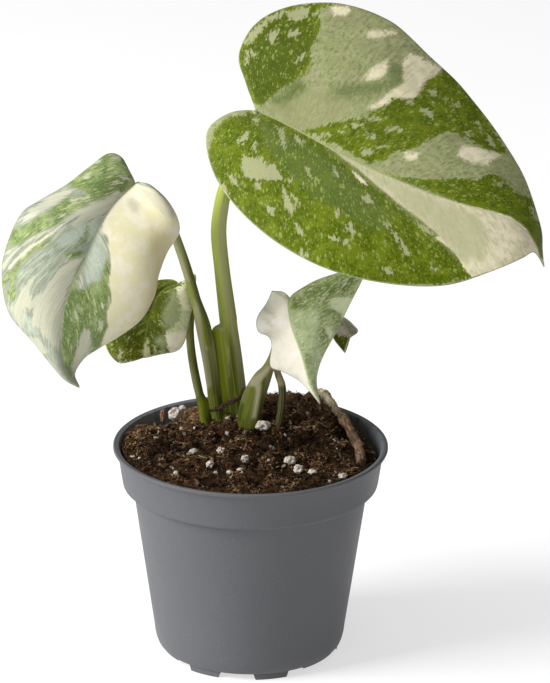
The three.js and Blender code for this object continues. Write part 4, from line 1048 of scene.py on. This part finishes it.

# Each leaf is marbled in its own way, so its tones are outlines, drawn as the camera sees them: x and
# y in turn, in the photograph's pixels. What no outline covers is sage. The material breaks the edges up.
# Not all of it is marbling: on leaf_2 the fold and the crown are painted shade, and leaf_1's rim_shadow is a
# painted shadow.
MARBLING = {name: {} for name in LEAVES}
MARBLING["leaf_1"] = {
    "green": {
        "upper_lobe": [[
            319, 6, 320, 31, 315, 43, 310, 50, 312, 64, 303, 77, 288, 85, 277, 93, 262, 106, 240, 100,
            235, 60, 250, 20, 280, 4,
        ]],
        "top_tongue": [[305, 3, 333, 4, 332, 6, 320, 9, 312, 12, 305, 12]],
        "band": [[
            300, 131, 320, 127, 332, 123, 350, 120, 364, 118, 371, 112, 388, 105, 393, 99, 412, 100, 419, 95,
            427, 82, 434, 78, 444, 69, 460, 80, 480, 110, 505, 150, 504, 154, 484, 150, 469, 140, 460, 136,
            448, 132, 430, 139, 416, 148, 395, 152, 386, 160, 370, 164, 355, 156, 345, 150, 335, 143,
            325, 142, 318, 135,
        ]],
        "tip_band": [[
            352, 164, 370, 169, 396, 178, 430, 180, 460, 179, 478, 180, 489, 173, 501, 178, 514, 191,
            530, 199, 545, 225, 545, 258, 539, 262, 537, 248, 525, 228, 510, 217, 490, 211, 460, 204,
            430, 194, 404, 184,
        ]],
        "lower_half": [[
            255, 112, 280, 121, 300, 132, 330, 149, 350, 163, 370, 179, 390, 197, 410, 213, 430, 226,
            439, 236, 435, 238, 449, 248, 460, 259, 472, 277, 440, 285, 380, 284, 300, 266, 250, 236,
            220, 200, 205, 165, 215, 130, 235, 112,
        ]],
    },
    "dark": {
        "upper_lobe": [[
            312, 12, 314, 40, 306, 50, 308, 62, 298, 74, 286, 82, 270, 92, 258, 98, 244, 92, 240, 60,
            256, 30, 284, 16,
        ]],
        "rim_shadow": [[238, 114, 252, 112, 256, 118, 250, 124, 240, 124, 235, 119]],
        "under_lobe": [[294, 80, 304, 82, 305, 91, 298, 98, 292, 110, 282, 108, 286, 98, 292, 90]],
    },
    "teal": {
        "under_lobe": [[
            285, 87, 298, 79, 306, 86, 308, 92, 300, 100, 294, 112, 280, 111, 268, 100, 278, 93,
        ]],
        "sage_left": [[318, 96, 345, 84, 370, 84, 386, 79, 390, 84, 376, 94, 352, 97, 334, 104]],
        "sage_top": [[387, 68, 398, 64, 406, 72, 402, 82, 392, 90, 384, 90, 389, 80]],
        "beside_rib": [[
            262, 121, 285, 133, 310, 146, 340, 166, 366, 190, 392, 214, 388, 232, 366, 228, 338, 208,
            312, 196, 292, 178, 276, 158, 262, 142,
        ]],
    },
    "pale": {
        "upper_lobe": [
            [244, 42, 255, 28, 270, 16, 286, 10, 284, 15, 270, 22, 262, 30, 254, 40, 247, 46],
            [287, 12, 300, 7, 308, 9, 307, 15, 298, 22, 290, 21], [311, 12, 317, 12, 317, 15, 312, 16],
            [269, 33, 277, 30, 280, 30, 277, 38, 273, 46, 268, 40],
            [288, 33, 296, 29, 300, 33, 296, 37, 289, 38], [246, 52, 250, 50, 249, 58, 248, 65, 245, 65],
            [251, 51, 256, 54, 256, 58, 252, 55], [295, 63, 300, 57, 306, 51, 306, 55, 300, 61, 296, 65],
        ],
        "band": [
            [320, 134, 331, 133, 331, 136, 321, 137], [339, 131, 346, 130, 346, 133, 340, 134],
            [352, 125, 363, 123, 364, 127, 354, 129], [366, 119, 379, 117, 380, 120, 373, 121, 367, 121],
            [386, 129, 396, 126, 402, 130, 399, 134, 394, 131, 388, 131],
            [366, 135, 374, 134, 375, 138, 367, 139], [362, 149, 372, 150, 371, 155, 364, 155],
            [377, 146, 384, 146, 383, 149, 378, 149], [407, 101, 413, 101, 412, 105, 408, 105],
            [419, 109, 427, 109, 433, 114, 432, 119, 426, 115], [429, 90, 437, 91, 436, 97, 430, 96],
            [452, 103, 459, 104, 457, 107, 452, 106], [475, 121, 480, 124, 482, 129, 477, 127],
            [464, 130, 470, 133, 469, 137, 465, 134], [486, 134, 492, 139, 496, 147, 492, 147, 488, 141],
            [529, 207, 533, 210, 540, 222, 536, 221, 532, 215], [497, 184, 503, 184, 504, 187, 498, 187],
        ],
        "lower_half": [
            [232, 113, 245, 113, 244, 116, 233, 116],
            [244, 133, 249, 132, 248, 139, 242, 144, 237, 141, 243, 136],
            [252, 143, 256, 143, 257, 152, 254, 153], [253, 119, 259, 119, 258, 124, 254, 123],
            [275, 126, 283, 130, 286, 147, 283, 149, 280, 136], [294, 137, 300, 137, 303, 141, 300, 145],
            [
                243, 155, 252, 158, 262, 157, 268, 166, 273, 164, 278, 170, 283, 181, 268, 180, 256, 181,
                244, 178, 241, 166,
            ],
            [257, 181, 260, 183, 260, 189, 255, 189], [228, 174, 236, 178, 240, 184, 235, 186, 231, 180],
            [219, 180, 226, 188, 231, 199, 226, 197, 221, 187], [265, 204, 275, 208, 274, 216, 269, 214],
            [282, 186, 289, 196, 295, 209, 292, 215, 285, 208, 283, 198],
            [292, 194, 297, 200, 297, 204, 292, 199], [288, 176, 291, 177, 291, 183, 288, 182],
            [306, 168, 309, 170, 312, 178, 309, 177], [333, 168, 337, 173, 339, 178, 334, 176],
            [363, 196, 369, 196, 374, 204, 369, 205, 364, 201],
            [294, 223, 300, 228, 304, 234, 300, 235, 296, 229], [334, 210, 339, 210, 340, 215, 336, 217],
            [346, 223, 350, 222, 355, 230, 354, 236, 349, 233], [328, 236, 336, 237, 340, 243, 331, 240],
            [341, 240, 348, 241, 347, 246, 342, 245], [381, 223, 388, 223, 391, 227, 386, 227],
            [390, 230, 397, 234, 401, 240, 396, 242], [400, 238, 406, 245, 409, 255, 404, 255, 401, 247],
            [416, 221, 428, 229, 433, 236, 425, 234, 418, 227], [381, 266, 388, 268, 391, 273, 385, 274],
            [430, 268, 437, 268, 436, 271, 431, 271], [298, 250, 305, 251, 308, 256, 303, 257],
        ],
    },
    "cream": {
        "wedge": [[
            331, 149, 346, 157, 360, 164, 404, 184, 430, 194, 460, 204, 490, 211, 510, 217, 525, 228,
            537, 248, 541, 262, 520, 260, 500, 269, 472, 277, 464, 269, 455, 253, 435, 238, 439, 236,
            420, 219, 400, 205, 380, 188, 360, 171, 345, 160,
        ]],
        "hook": [[531, 252, 540, 258, 548, 262, 546, 270, 538, 268, 531, 260]],
        "near_rib": [[351, 171, 360, 176, 368, 186, 360, 182]],
    },
    "milk": {
        "above_band": [
            [331, 8, 347, 7, 351, 12, 345, 16, 333, 16], [366, 32, 380, 30, 386, 35, 378, 40, 368, 38],
            [385, 31, 397, 31, 395, 35, 387, 36], [362, 80, 371, 69, 387, 60, 388, 67, 384, 76, 372, 81],
            [
                368, 108, 384, 98, 393, 89, 406, 83, 420, 72, 437, 69, 434, 77, 427, 78, 418, 93, 416, 99,
                394, 99, 388, 105, 374, 109,
            ],
            [402, 62, 410, 53, 424, 60, 441, 68, 436, 76, 426, 80, 412, 88, 404, 84],
        ],
        "in_band": [
            [456, 155, 463, 146, 478, 148, 496, 152, 501, 156, 491, 161, 488, 166, 470, 163],
            [404, 152, 419, 153, 417, 160, 405, 160],
            [476, 180, 489, 180, 508, 197, 490, 196, 461, 192, 472, 187],
        ],
    },
    "tan": {
        "above_rib": [[
            270, 108, 284, 104, 300, 92, 322, 88, 344, 98, 350, 108, 340, 116, 318, 126, 300, 130, 284, 120,
        ]],
    },
    "shade": {
        "wedge": [[
            331, 149, 360, 164, 404, 184, 440, 198, 476, 214, 490, 236, 484, 262, 462, 262, 445, 244,
            420, 222, 390, 196, 360, 172,
        ]],
    },
}
MARBLING["leaf_2"] = {
    "green": {
        "top": [[
            57, 188, 80, 173, 95, 160, 112, 152, 126, 158, 134, 178, 137, 183, 128, 187, 116, 197, 108, 197,
            97, 200, 86, 206, 72, 213, 60, 223, 44, 231, 29, 238, 18, 246, 6, 247, 12, 229, 22, 226, 30, 223,
            37, 216, 48, 213, 55, 207, 64, 201, 65, 197, 80, 196, 88, 194, 84, 191, 76, 189, 68, 186,
        ]],
        "left_strip": [[
            52, 237, 39, 240, 30, 248, 21, 257, 14, 268, 5, 275, -2, 284, 4, 290, 9, 282, 12, 278, 10, 288,
            5, 294, 8, 300, 12, 298, 13, 306, 16, 295, 17, 276, 22, 262, 33, 253, 45, 246,
        ]],
        "right_of_rib": [[
            86, 258, 77, 268, 71, 282, 67, 293, 64, 306, 62, 322, 60, 338, 60, 352, 64, 368, 72, 383,
            71, 370, 75, 356, 80, 338, 84, 330, 90, 331, 92, 342, 90, 354, 101, 343, 107, 328, 107, 311,
            111, 303, 112, 293, 109, 284, 111, 264, 110, 254, 105, 264, 101, 280, 93, 283, 82, 290, 76, 287,
            79, 274,
        ]],
        "rib_patch": [[88, 226, 83, 237, 72, 246, 69, 249, 76, 249, 86, 241, 91, 231]],
        "rib_patch_low": [[66, 252, 76, 252, 86, 249, 80, 257, 71, 260, 66, 256]],
    },
    "dark": {
        "rib_patch": [[87, 229, 83, 237, 77, 242, 78, 246, 86, 241]],
        "rib_patch_low": [[70, 252, 82, 250, 79, 256, 72, 258]],
        "stripe": [[70, 290, 75, 292, 73, 310, 68, 330, 63, 345, 62, 335, 66, 305]],
        "top": [[88, 183, 112, 178, 126, 184, 108, 195, 92, 196]],
        "edge": [[110, 258, 112, 268, 110, 278, 106, 268]],
    },
    "teal": {
        "middle": [[
            80, 221, 104, 218, 100, 235, 104, 262, 98, 280, 85, 282, 88, 255, 92, 238, 74, 247, 60, 247,
            58, 240, 72, 228,
        ]],
        "low_left": [[25, 318, 34, 318, 36, 334, 26, 332]],
    },
    "pale": {
        "left": [
            [52, 195, 66, 189, 76, 190, 66, 197, 56, 204, 44, 211, 32, 217, 24, 222, 28, 210],
            [
                106, 199, 110, 203, 100, 210, 88, 213, 76, 217, 64, 223, 51, 230, 38, 234, 27, 242, 18, 251,
                9, 263, 3, 271, 2, 264, 8, 252, 18, 248, 30, 240, 44, 234, 56, 227, 66, 218, 78, 210,
                93, 203,
            ],
            [
                84, 257, 70, 261, 58, 270, 47, 288, 37, 295, 31, 298, 29, 290, 35, 281, 34, 275, 22, 288,
                15, 303, 10, 308, 20, 328, 25, 330, 26, 308, 33, 308, 33, 325, 44, 334, 52, 345, 59, 350,
                62, 330, 64, 306, 68, 290, 76, 270,
            ],
            [28, 336, 40, 337, 48, 352, 40, 356],
        ],
        "right": [[84, 326, 90, 332, 90, 354, 72, 378, 71, 366, 78, 345]],
        "by_rib": [[
            118, 191, 122, 195, 112, 205, 107, 214, 96, 219, 84, 221, 74, 227, 70, 226, 80, 214, 94, 205,
            106, 198,
        ]],
        "wisps": [
            [81, 272, 84, 277, 83, 286, 79, 288, 80, 277], [92, 262, 96, 272, 93, 272, 91, 266],
            [76, 303, 78, 304, 79, 318, 77, 317],
        ],
        "flecks": [
            [99, 232, 102, 231, 101, 243, 99, 243], [84, 177, 90, 175, 88, 179, 84, 180],
            [112, 182, 122, 182, 121, 184, 113, 184], [118, 176, 127, 177, 131, 180, 122, 180],
            [110, 157, 120, 157, 119, 160, 111, 159], [92, 161, 100, 160, 99, 163, 93, 164],
            [71, 200, 88, 196, 90, 198, 73, 203], [61, 215, 66, 213, 64, 217, 61, 218],
            [102, 303, 106, 302, 105, 307, 102, 306], [99, 321, 103, 320, 101, 330, 98, 329],
        ],
    },
    "cream": {
        "right_half": [[
            135, 184, 155, 190, 175, 210, 185, 235, 165, 270, 162, 290, 145, 325, 115, 340, 99, 350,
            103, 338, 108, 326, 107, 311, 111, 303, 112, 293, 109, 284, 111, 264, 110, 254, 108, 238,
            101, 230, 105, 219, 113, 205, 121, 194,
        ]],
        "streak": [[8, 268, 20, 254, 34, 243, 50, 233, 64, 224, 52, 235, 36, 245, 22, 256, 11, 268]],
    },
    "shade": {
        # Painted shade: the fold darkens the cream half's right side, where it turns away from the light.
        "painted_shade_fold": [[150, 226, 160, 230, 174, 236, 168, 262, 161, 300, 148, 328, 138, 332, 150, 292, 151, 256]],
    },
    "spot": {
        # Painted shade: the crown darkens the lit top of the cream half.
        "painted_shade_crown": [[140, 188, 158, 192, 172, 203, 180, 218, 168, 218, 156, 208, 144, 198]],
        "dent": [[128, 199, 134, 196, 140, 203, 139, 212, 133, 213, 128, 206]],
    },
}
MARBLING["leaf_3"] = {
    "green": {
        "left_half": [[
            150, 278, 165, 277, 178, 280, 184, 283, 176, 289, 178, 300, 182, 310, 179, 320, 173, 327,
            166, 331, 165, 338, 169, 352, 140, 360, 115, 362, 100, 345, 105, 330, 140, 310,
        ]],
    },
    "dark": {
        "upper": [[158, 286, 172, 284, 170, 300, 162, 312, 154, 310]],
        "middle": [[150, 318, 160, 320, 160, 335, 150, 345, 146, 336]],
        "left": [[122, 332, 142, 322, 140, 348, 128, 352, 120, 342]],
    },
    "teal": {
        "patch": [[155, 338, 162, 335, 166, 340, 165, 347, 158, 345]],
        "right_middle": [[170, 290, 184, 300, 188, 318, 174, 334, 162, 324, 164, 304]],
    },
    "pale": {
        "top_corner": [[190, 281, 198, 274, 198, 296, 193, 300, 190, 290]],
        "bottom": [
            [144, 343, 147, 341, 149, 348, 150, 357, 145, 358, 142, 352],
            [119, 349, 122, 349, 123, 358, 118, 358], [153, 344, 158, 349, 164, 350, 166, 352, 156, 352],
        ],
    },
    "milk": {
        "lower": [[160, 331, 172, 333, 182, 330, 190, 334, 184, 350, 170, 355, 165, 345]],
        "upper": [[176, 288, 184, 285, 188, 298, 189, 310, 183, 311, 179, 302]],
    },
}
MARBLING["leaf_4"] = {
    "green": {
        "right_half": [[
            288, 292, 305, 282, 335, 272, 368, 276, 356, 298, 349, 297, 338, 297, 330, 299, 330, 309,
            342, 313, 343, 326, 332, 348, 318, 372, 317, 388, 322, 406, 316, 404, 308, 382, 304, 362,
            297, 341, 290, 315,
        ]],
    },
    "dark": {
        "top": [[322, 282, 345, 276, 358, 280, 350, 290, 330, 292, 308, 300, 304, 294]],
        "left": [[291, 298, 304, 296, 308, 308, 294, 310]],
        "low": [[304, 352, 309, 354, 310, 366, 306, 366]],
    },
    "teal": {
        "middle": [[
            292, 312, 312, 308, 323, 314, 318, 330, 320, 350, 318, 372, 312, 384, 306, 366, 298, 341,
            292, 322,
        ]],
    },
    "pale": {
        "right_half": [
            [333, 299, 339, 298, 341, 301, 337, 304, 332, 303],
            [337, 306, 340, 302, 344, 302, 343, 305, 340, 308, 336, 309],
            [323, 326, 329, 327, 333, 334, 330, 338, 326, 333],
        ],
    },
    "cream": {
        "left_half": [[
            262, 288, 297, 289, 290, 296, 288, 304, 290, 315, 297, 341, 304, 363, 309, 384, 321, 405,
            290, 392, 250, 376, 244, 340, 250, 310,
        ]],
    },
    "spot": {
        "squiggles": [
            [264, 309, 268, 310, 273, 312, 275, 317, 272, 315, 267, 312],
            [264, 318, 269, 320, 271, 325, 268, 323], [280, 291, 288, 290, 297, 292, 290, 294],
        ],
    },
    "shade": {
        "lobe": [[256, 318, 262, 304, 270, 300, 276, 312, 274, 326, 266, 332, 258, 328]],
    },
}
MARBLING["leaf_5"] = {
    "green": {
        "point": [[334, 333, 342, 334, 352, 335, 350, 352, 340, 356, 328, 340]],
    },
    "dark": {
        "edge": [[332, 339, 338, 345, 345, 354, 346, 350, 340, 342]],
    },
    "teal": {
        "roll": [[341, 320, 352, 327, 357, 331, 353, 336, 344, 327]],
    },
    "pale": {
        "underside": [[333, 333, 338, 327, 344, 326, 350, 333, 350, 336, 341, 335]],
    },
}

PATCH_TONES = ("teal", "tan", "milk", "green", "dark", "pale", "cream", "shade", "spot")


def leaf_places(leaf, along, across):
    """Points of the blade. Along runs from the stalk to the tip, and across from -1 to 1 between margins."""
    inner = curve_evenly_at(leaf["rib"], along ** leaf["fan"])
    places = np.zeros_like(inner)
    for name, mine in (("left", across < 0), ("right", across >= 0)):
        outer = curve_evenly_at(leaf[name], along)
        if name + "_halfway" in leaf:
            middle = curve_evenly_at(leaf[name + "_halfway"], along)
        else:
            swell = np.array(leaf["swell"][name]) * np.sin(np.pi * along)[:, None]
            middle = (inner + outer) / 2 + swell
        t = np.abs(across)[:, None]
        half = (1 - t) * (1 - 2 * t) * inner + 4 * t * (1 - t) * middle + t * (2 * t - 1) * outer
        places[mine] = half[mine]
    return places


def nearest(points, line):
    """The distance from each point to the nearest point of a line."""
    chunks = np.array_split(points, 1 + len(points) // 4000)
    return np.concatenate([np.linalg.norm(c[:, None] - line[None], axis=2).min(1) for c in chunks])


def leaf_shape(leaf, marbling):
    """The blade as one sheet. Its points carry its tones, midrib and margin as distances in millimetres."""
    shape = grid_shape(*leaf["grid"])
    corners = np.array([corner.co for corner in shape.verts])
    along, across = (corners[:, 0] + 1) / 2, corners[:, 1]
    places = leaf_places(leaf, along, across)
    fine = np.linspace(0, 1, EDGE_SAMPLES)
    rib_line = curve_evenly_at(leaf["rib"], fine)
    rib_distance = nearest(places, rib_line)
    edge_line = np.vstack([curve_evenly_at(leaf[side], fine) for side in ("left", "right")])
    pixels = seen_at(places)
    fields = {}
    for tone in PATCH_TONES:
        outlines = [outline for place in marbling.get(tone, {}).values() for outline in place]
        fields[tone] = depth_inside(outlines, pixels)
    fields["rib"] = rib_distance
    fields["edge"] = nearest(places, edge_line)
    fields["along"] = along
    fields["keel"] = np.exp(-((rib_distance / KEEL_WIDTH) ** 2)) * (1 - along)
    layers = give_fields(shape, places, fields)
    length = np.linalg.norm(np.diff(curve_evenly_at(leaf["right"], fine), axis=0), axis=1).sum()
    width = np.linalg.norm(curve_evenly_at(leaf["left"], 0.5) - curve_evenly_at(leaf["rib"], 0.4))
    uv = shape.loops.layers.uv["UVMap"]
    for face in shape.faces:
        for loop in face.loops:
            u, v = loop[uv].uv.x * length / 10, (2 * loop[uv].uv.y - 1) * width / 10
            loop[uv].uv = (u - leaf["lean"] * abs(v), v)
    bmesh.ops.remove_doubles(shape, verts=shape.verts, dist=0.004)
    shape.normal_update()
    facing = sum((face.normal for face in shape.faces), Vector())
    if facing.dot(Vector(forward)) > 0:
        bmesh.ops.reverse_faces(shape, faces=shape.faces)
        shape.normal_update()
    for corner in shape.verts:
        groove = -leaf["rib_depth"] / 2 * corner[layers["keel"]]
        quilting = leaf["quilting"] * noise.noise(corner.co / QUILT_SIZE)
        corner.co += corner.normal * (groove + quilting)
    return shape


def leaf_material(name, tone, looks, roughness=0.48, fade=0.0):
    """Marbled leaf skin in tones of hex colours, with a row of LOOKS. Fade greys an underside."""
    flecked, roundish, streaky, soft, milky, grainy, strokes, creamy_veins = looks
    material, tree, shader = new_material(name, roughness, ior=1.42, subsurface=0.06, specular=0.15)
    mm = millimetres(tree)
    leaf_uv = uv_of(tree)

    def scaled(value, factor):
        return maths(tree, "MULTIPLY", value, factor)

    def veined(across_vein, along_vein):
        return stretched(tree, leaf_uv, (across_vein, along_vein, 1))

    def centred(value, reach):
        return scaled(maths(tree, "SUBTRACT", value, 0.5), reach)

    fuzz = noise_of(tree, mm, 1.1, detail=2, roughness=0.5)
    cloud = noise_of(tree, mm, 0.17, detail=3)
    haze = noise_of(tree, mm, 0.23, detail=4)
    blotch = noise_of(tree, veined(6, 3), 1, detail=4, roughness=0.6)
    streak = noise_of(tree, veined(7, 0.8), 1, detail=3, roughness=0.55)
    jagged = maths(tree, "ADD", centred(fuzz, 1.6), centred(blotch, 6))
    jagged = maths(tree, "ADD", jagged, centred(streak, streaky * 4))

    def flecks(size, share, most):
        """Flecks about size millimetres apart, in that share of places, longer along the veins."""
        size_and_place = {"Vector": veined(10 / size, roundish * 10 / size), "Scale": 1}
        cell = add_node(tree, "ShaderNodeTexVoronoi", size_and_place)
        chance = add_node(tree, "ShaderNodeSeparateColor", {0: cell.outputs["Color"]}).outputs[0]
        radius = ramp(tree, chance, 1 - share, 1.2, 0, 0.6)
        beyond = maths(tree, "SUBTRACT", cell.outputs["Distance"], radius)
        return ramp(tree, maths(tree, "ADD", beyond, centred(fuzz, 0.9)), -0.22, 0.1, most, 0)

    def patch(tone, softness, most=1.0, ragged=1.0):
        depth = maths(tree, "ADD", field_of(tree, tone), scaled(jagged, ragged))
        return ramp(tree, depth, -softness * soft, softness * soft, 0, most)

    green = layered(
        tree,
        mix(tree, ramp(tree, fuzz, 0.36, 0.62), tone["dark"], tone["green"]),
        (ramp(tree, cloud, 0.46, 0.64, 0, 0.6), tone["leafy"]),
        (ramp(tree, blotch, 0.52, 0.7, 0, 0.5), tone["leafy"]),
        (ramp(tree, haze, 0.42, 0.3, 0, 0.7), tone["dark"]),
        (patch("teal", 2, 0.45), tone["teal"]),
        (patch("dark", 0.8, 0.65), tone["dark"]),
        (flecks(0.95, flecked * 1.3, 0.5), tone["fleck"]),
        (flecks(1.9, flecked, 0.6), tone["fleck"]),
        (flecks(3.6, flecked * 0.3, 0.75), tone["sage_light"]),
    )
    speckle = ramp(tree, fuzz, 0.3, 0.7, 0.5 - grainy / 2, 0.5 + grainy / 2)
    sage = layered(
        tree,
        mix(tree, speckle, tone["sage"], tone["sage_light"]),
        (ramp(tree, haze, 0.45, 0.62, 0, milky), tone["pale"]),
        (ramp(tree, cloud, 0.5, 0.62, 0, milky), tone["tan"]),
        (ramp(tree, blotch, 0.46, 0.66, 0, 0.6), tone["teal"]),
        (ramp(tree, streak, 0.46, 0.64, 0, strokes), tone["pale"]),
    )
    teal = mix(tree, ramp(tree, fuzz, 0.35, 0.7, 0, grainy), tone["teal"], tone["sage"])
    teal = mix(tree, patch("dark", 0.8, 0.65), teal, tone["dark"])
    pale = mix(tree, ramp(tree, streak, 0.34, 0.56, 0.65, 1), tone["sage_light"], tone["pale"])
    pale = mix(tree, ramp(tree, fuzz, 0.5, 0.7, 0, grainy * 0.4), pale, tone["sage"])
    cream = mix(tree, ramp(tree, haze, 0.38, 0.62), tone["cream"], tone["cream_deep"])
    cream = mix(tree, ramp(tree, streak, 0.48, 0.68, 0, creamy_veins), cream, tone["sage_light"])
    tan = mix(tree, ramp(tree, blotch, 0.42, 0.6), tone["tan"], tone["sage_light"])
    tan = mix(tree, ramp(tree, fuzz, 0.45, 0.7, 0, 0.5), tan, tone["sage"])

    thin_out = ramp(tree, field_of(tree, "along"), 0.3, 1, 0.9, 0.3)
    near_stalk = ramp(tree, field_of(tree, "along"), 0.06, 0.2, 1, 0)
    skin = layered(
        tree,
        sage,
        (patch("teal", 2, 0.8), teal),
        (patch("tan", 2.2, 0.75, ragged=0.8), tan),
        (patch("milk", 1, 0.9, ragged=0.8), cream),
        (patch("green", 0.35), green),
        (patch("pale", 0.5, 0.9), pale),
        (patch("cream", 0.4, ragged=0.4), cream),
        # On leaf_2 the shade patch on the fold and the spot patch on the crown are painted shade.
        (patch("shade", 3, 0.7, ragged=0.8), tone["shade"]),
        (patch("spot", 1.4, 0.65, ragged=0.6), tone["spot"]),
        (scaled(ramp(tree, field_of(tree, "rib"), 0.3, 0.75, 1, 0), thin_out), tone["rib"]),
        (scaled(ramp(tree, field_of(tree, "rib"), 1, 3.5, 0.7, 0), near_stalk), tone["rib"]),
        # A thin line along the margin; on leaf_2 it is darker, painted shade on the blade's thin rim.
        (ramp(tree, field_of(tree, "edge"), 0.2, 0.75, 0.75, 0), tone["edge"]),
    )
    if fade:
        skin = mix(tree, fade, skin, tone["under"])
    colour_of(tree, shader, skin)
    bump(tree, shader, maths(tree, "ADD", blotch, fuzz), 0.03)
    uneven = ramp(tree, cloud, 0.3, 0.7, roughness - 0.06, roughness + 0.06)
    tree.links.new(uneven, shader.inputs["Roughness"])
    return material


# One row for each tone, with the hex colour that it has on each of the five leaves.
TONES = {
    "green": ("#5a6b04", "#788a50", "#5c6800", "#93a360", "#5b5f10"),
    "dark": ("#435208", "#5a6e3c", "#404a00", "#5c6e2a", "#3f420c"),
    "leafy": ("#6d7b14", "#97a470", "#727d1a", "#b3bf88", "#6d7b14"),
    "fleck": ("#99a358", "#bcc495", "#a7b062", "#dbe0c0", "#99a358"),
    # Leaf_3's sage and cream tones are painted light, made lighter where leaf_2 shades the leaf.
    "sage": ("#7d8451", "#798270", "#b4bd88", "#bcc898", "#77776a"),
    "sage_light": ("#9ca170", "#8d9482", "#ced4a8", "#d0d9b4", "#8f8f84"),
    "teal": ("#586838", "#b8c3b1", "#dde6b6", "#d2e0b0", "#6a6a50"),
    "pale": ("#a3a47c", "#bdbca5", "#bdb892", "#d8dbb2", "#b3aa9c"),
    "cream": ("#e6dcbf", "#d6d0b8", "#fdf6da", "#f0ebdd", "#e6dcbf"),
    "cream_deep": ("#d4cdaa", "#d0caa4", "#f4ecce", "#e9e3cf", "#d4cdaa"),
    "rib": ("#9fa76c", "#a9b090", "#7c8840", "#a3b078", "#9fa76c"),
    # The edge line is darker on leaf_2: painted shade on the blade's thin rim.
    "edge": ("#a9a78e", "#888c74", "#a9a78e", "#a3a28e", "#a9a78e"),
    "under": ("#b4bb9a", "#b4bb9a", "#b4bb9a", "#b4bb9a", "#b4bb9a"),
    "tan": ("#8b8864", "#a9ab95", "#c9c29c", "#c4caa0", "#8b8864"),
    "shade": ("#a6a87c", "#b4a676", "#a6a87c", "#d8d3c4", "#a6a87c"),
    "spot": ("#a9ada0", "#a9a68f", "#a9ada0", "#a5a68a", "#a9ada0"),
}
# Each row holds, in turn: the share of flecks in the green, their width by length, how far the patches run
# out along the veins and how far they blur, how pale, speckled and streaked the sage is, and how much the
# veins show in the cream.
LOOKS = {
    "leaf_1": (0.6, 0.5, 0.8, 1, 0.6, 0.65, 0.35, 0.45),
    "leaf_2": (0.6, 0.7, 0.55, 1.2, 0.15, 0.35, 0.3, 0),
    "leaf_3": (0.65, 0.9, 0.3, 1.2, 0.4, 0.8, 0.3, 0.1),
    "leaf_4": (0.9, 1.2, 0.2, 1.4, 0.5, 1, 0.4, 0),
    "leaf_5": (0.3, 0.8, 1, 1, 0.3, 0.8, 0.4, 0.2),
}
for order, (name, leaf) in enumerate(LEAVES.items()):
    tone = {key: shades[order] for key, shades in TONES.items()}
    skins = [
        leaf_material(f"{name}_upper_skin", tone, LOOKS[name]),
        leaf_material(f"{name}_under_skin", tone, LOOKS[name], roughness=0.6, fade=0.35),
    ]
    blade = new_piece(f"{name}_blade", leaf_shape(leaf, MARBLING[name]), skins)
    keel = blade.vertex_groups.new(name="midrib")
    for index, weight in enumerate(blade.data.attributes["keel"].data):
        keel.add([index], weight.value, "REPLACE")
    thickness = blade.modifiers.new("thickness", "SOLIDIFY")
    thickness.thickness = leaf["rib_depth"] * MM
    thickness.vertex_group = "midrib"
    thickness.thickness_vertex_group = LEAF_THICKNESS / leaf["rib_depth"]
    thickness.offset = 0
    thickness.material_offset = 1
    thickness.material_offset_rim = 0
    with_modifiers_applied(blade)
    belongs(blade, "leaf", name)
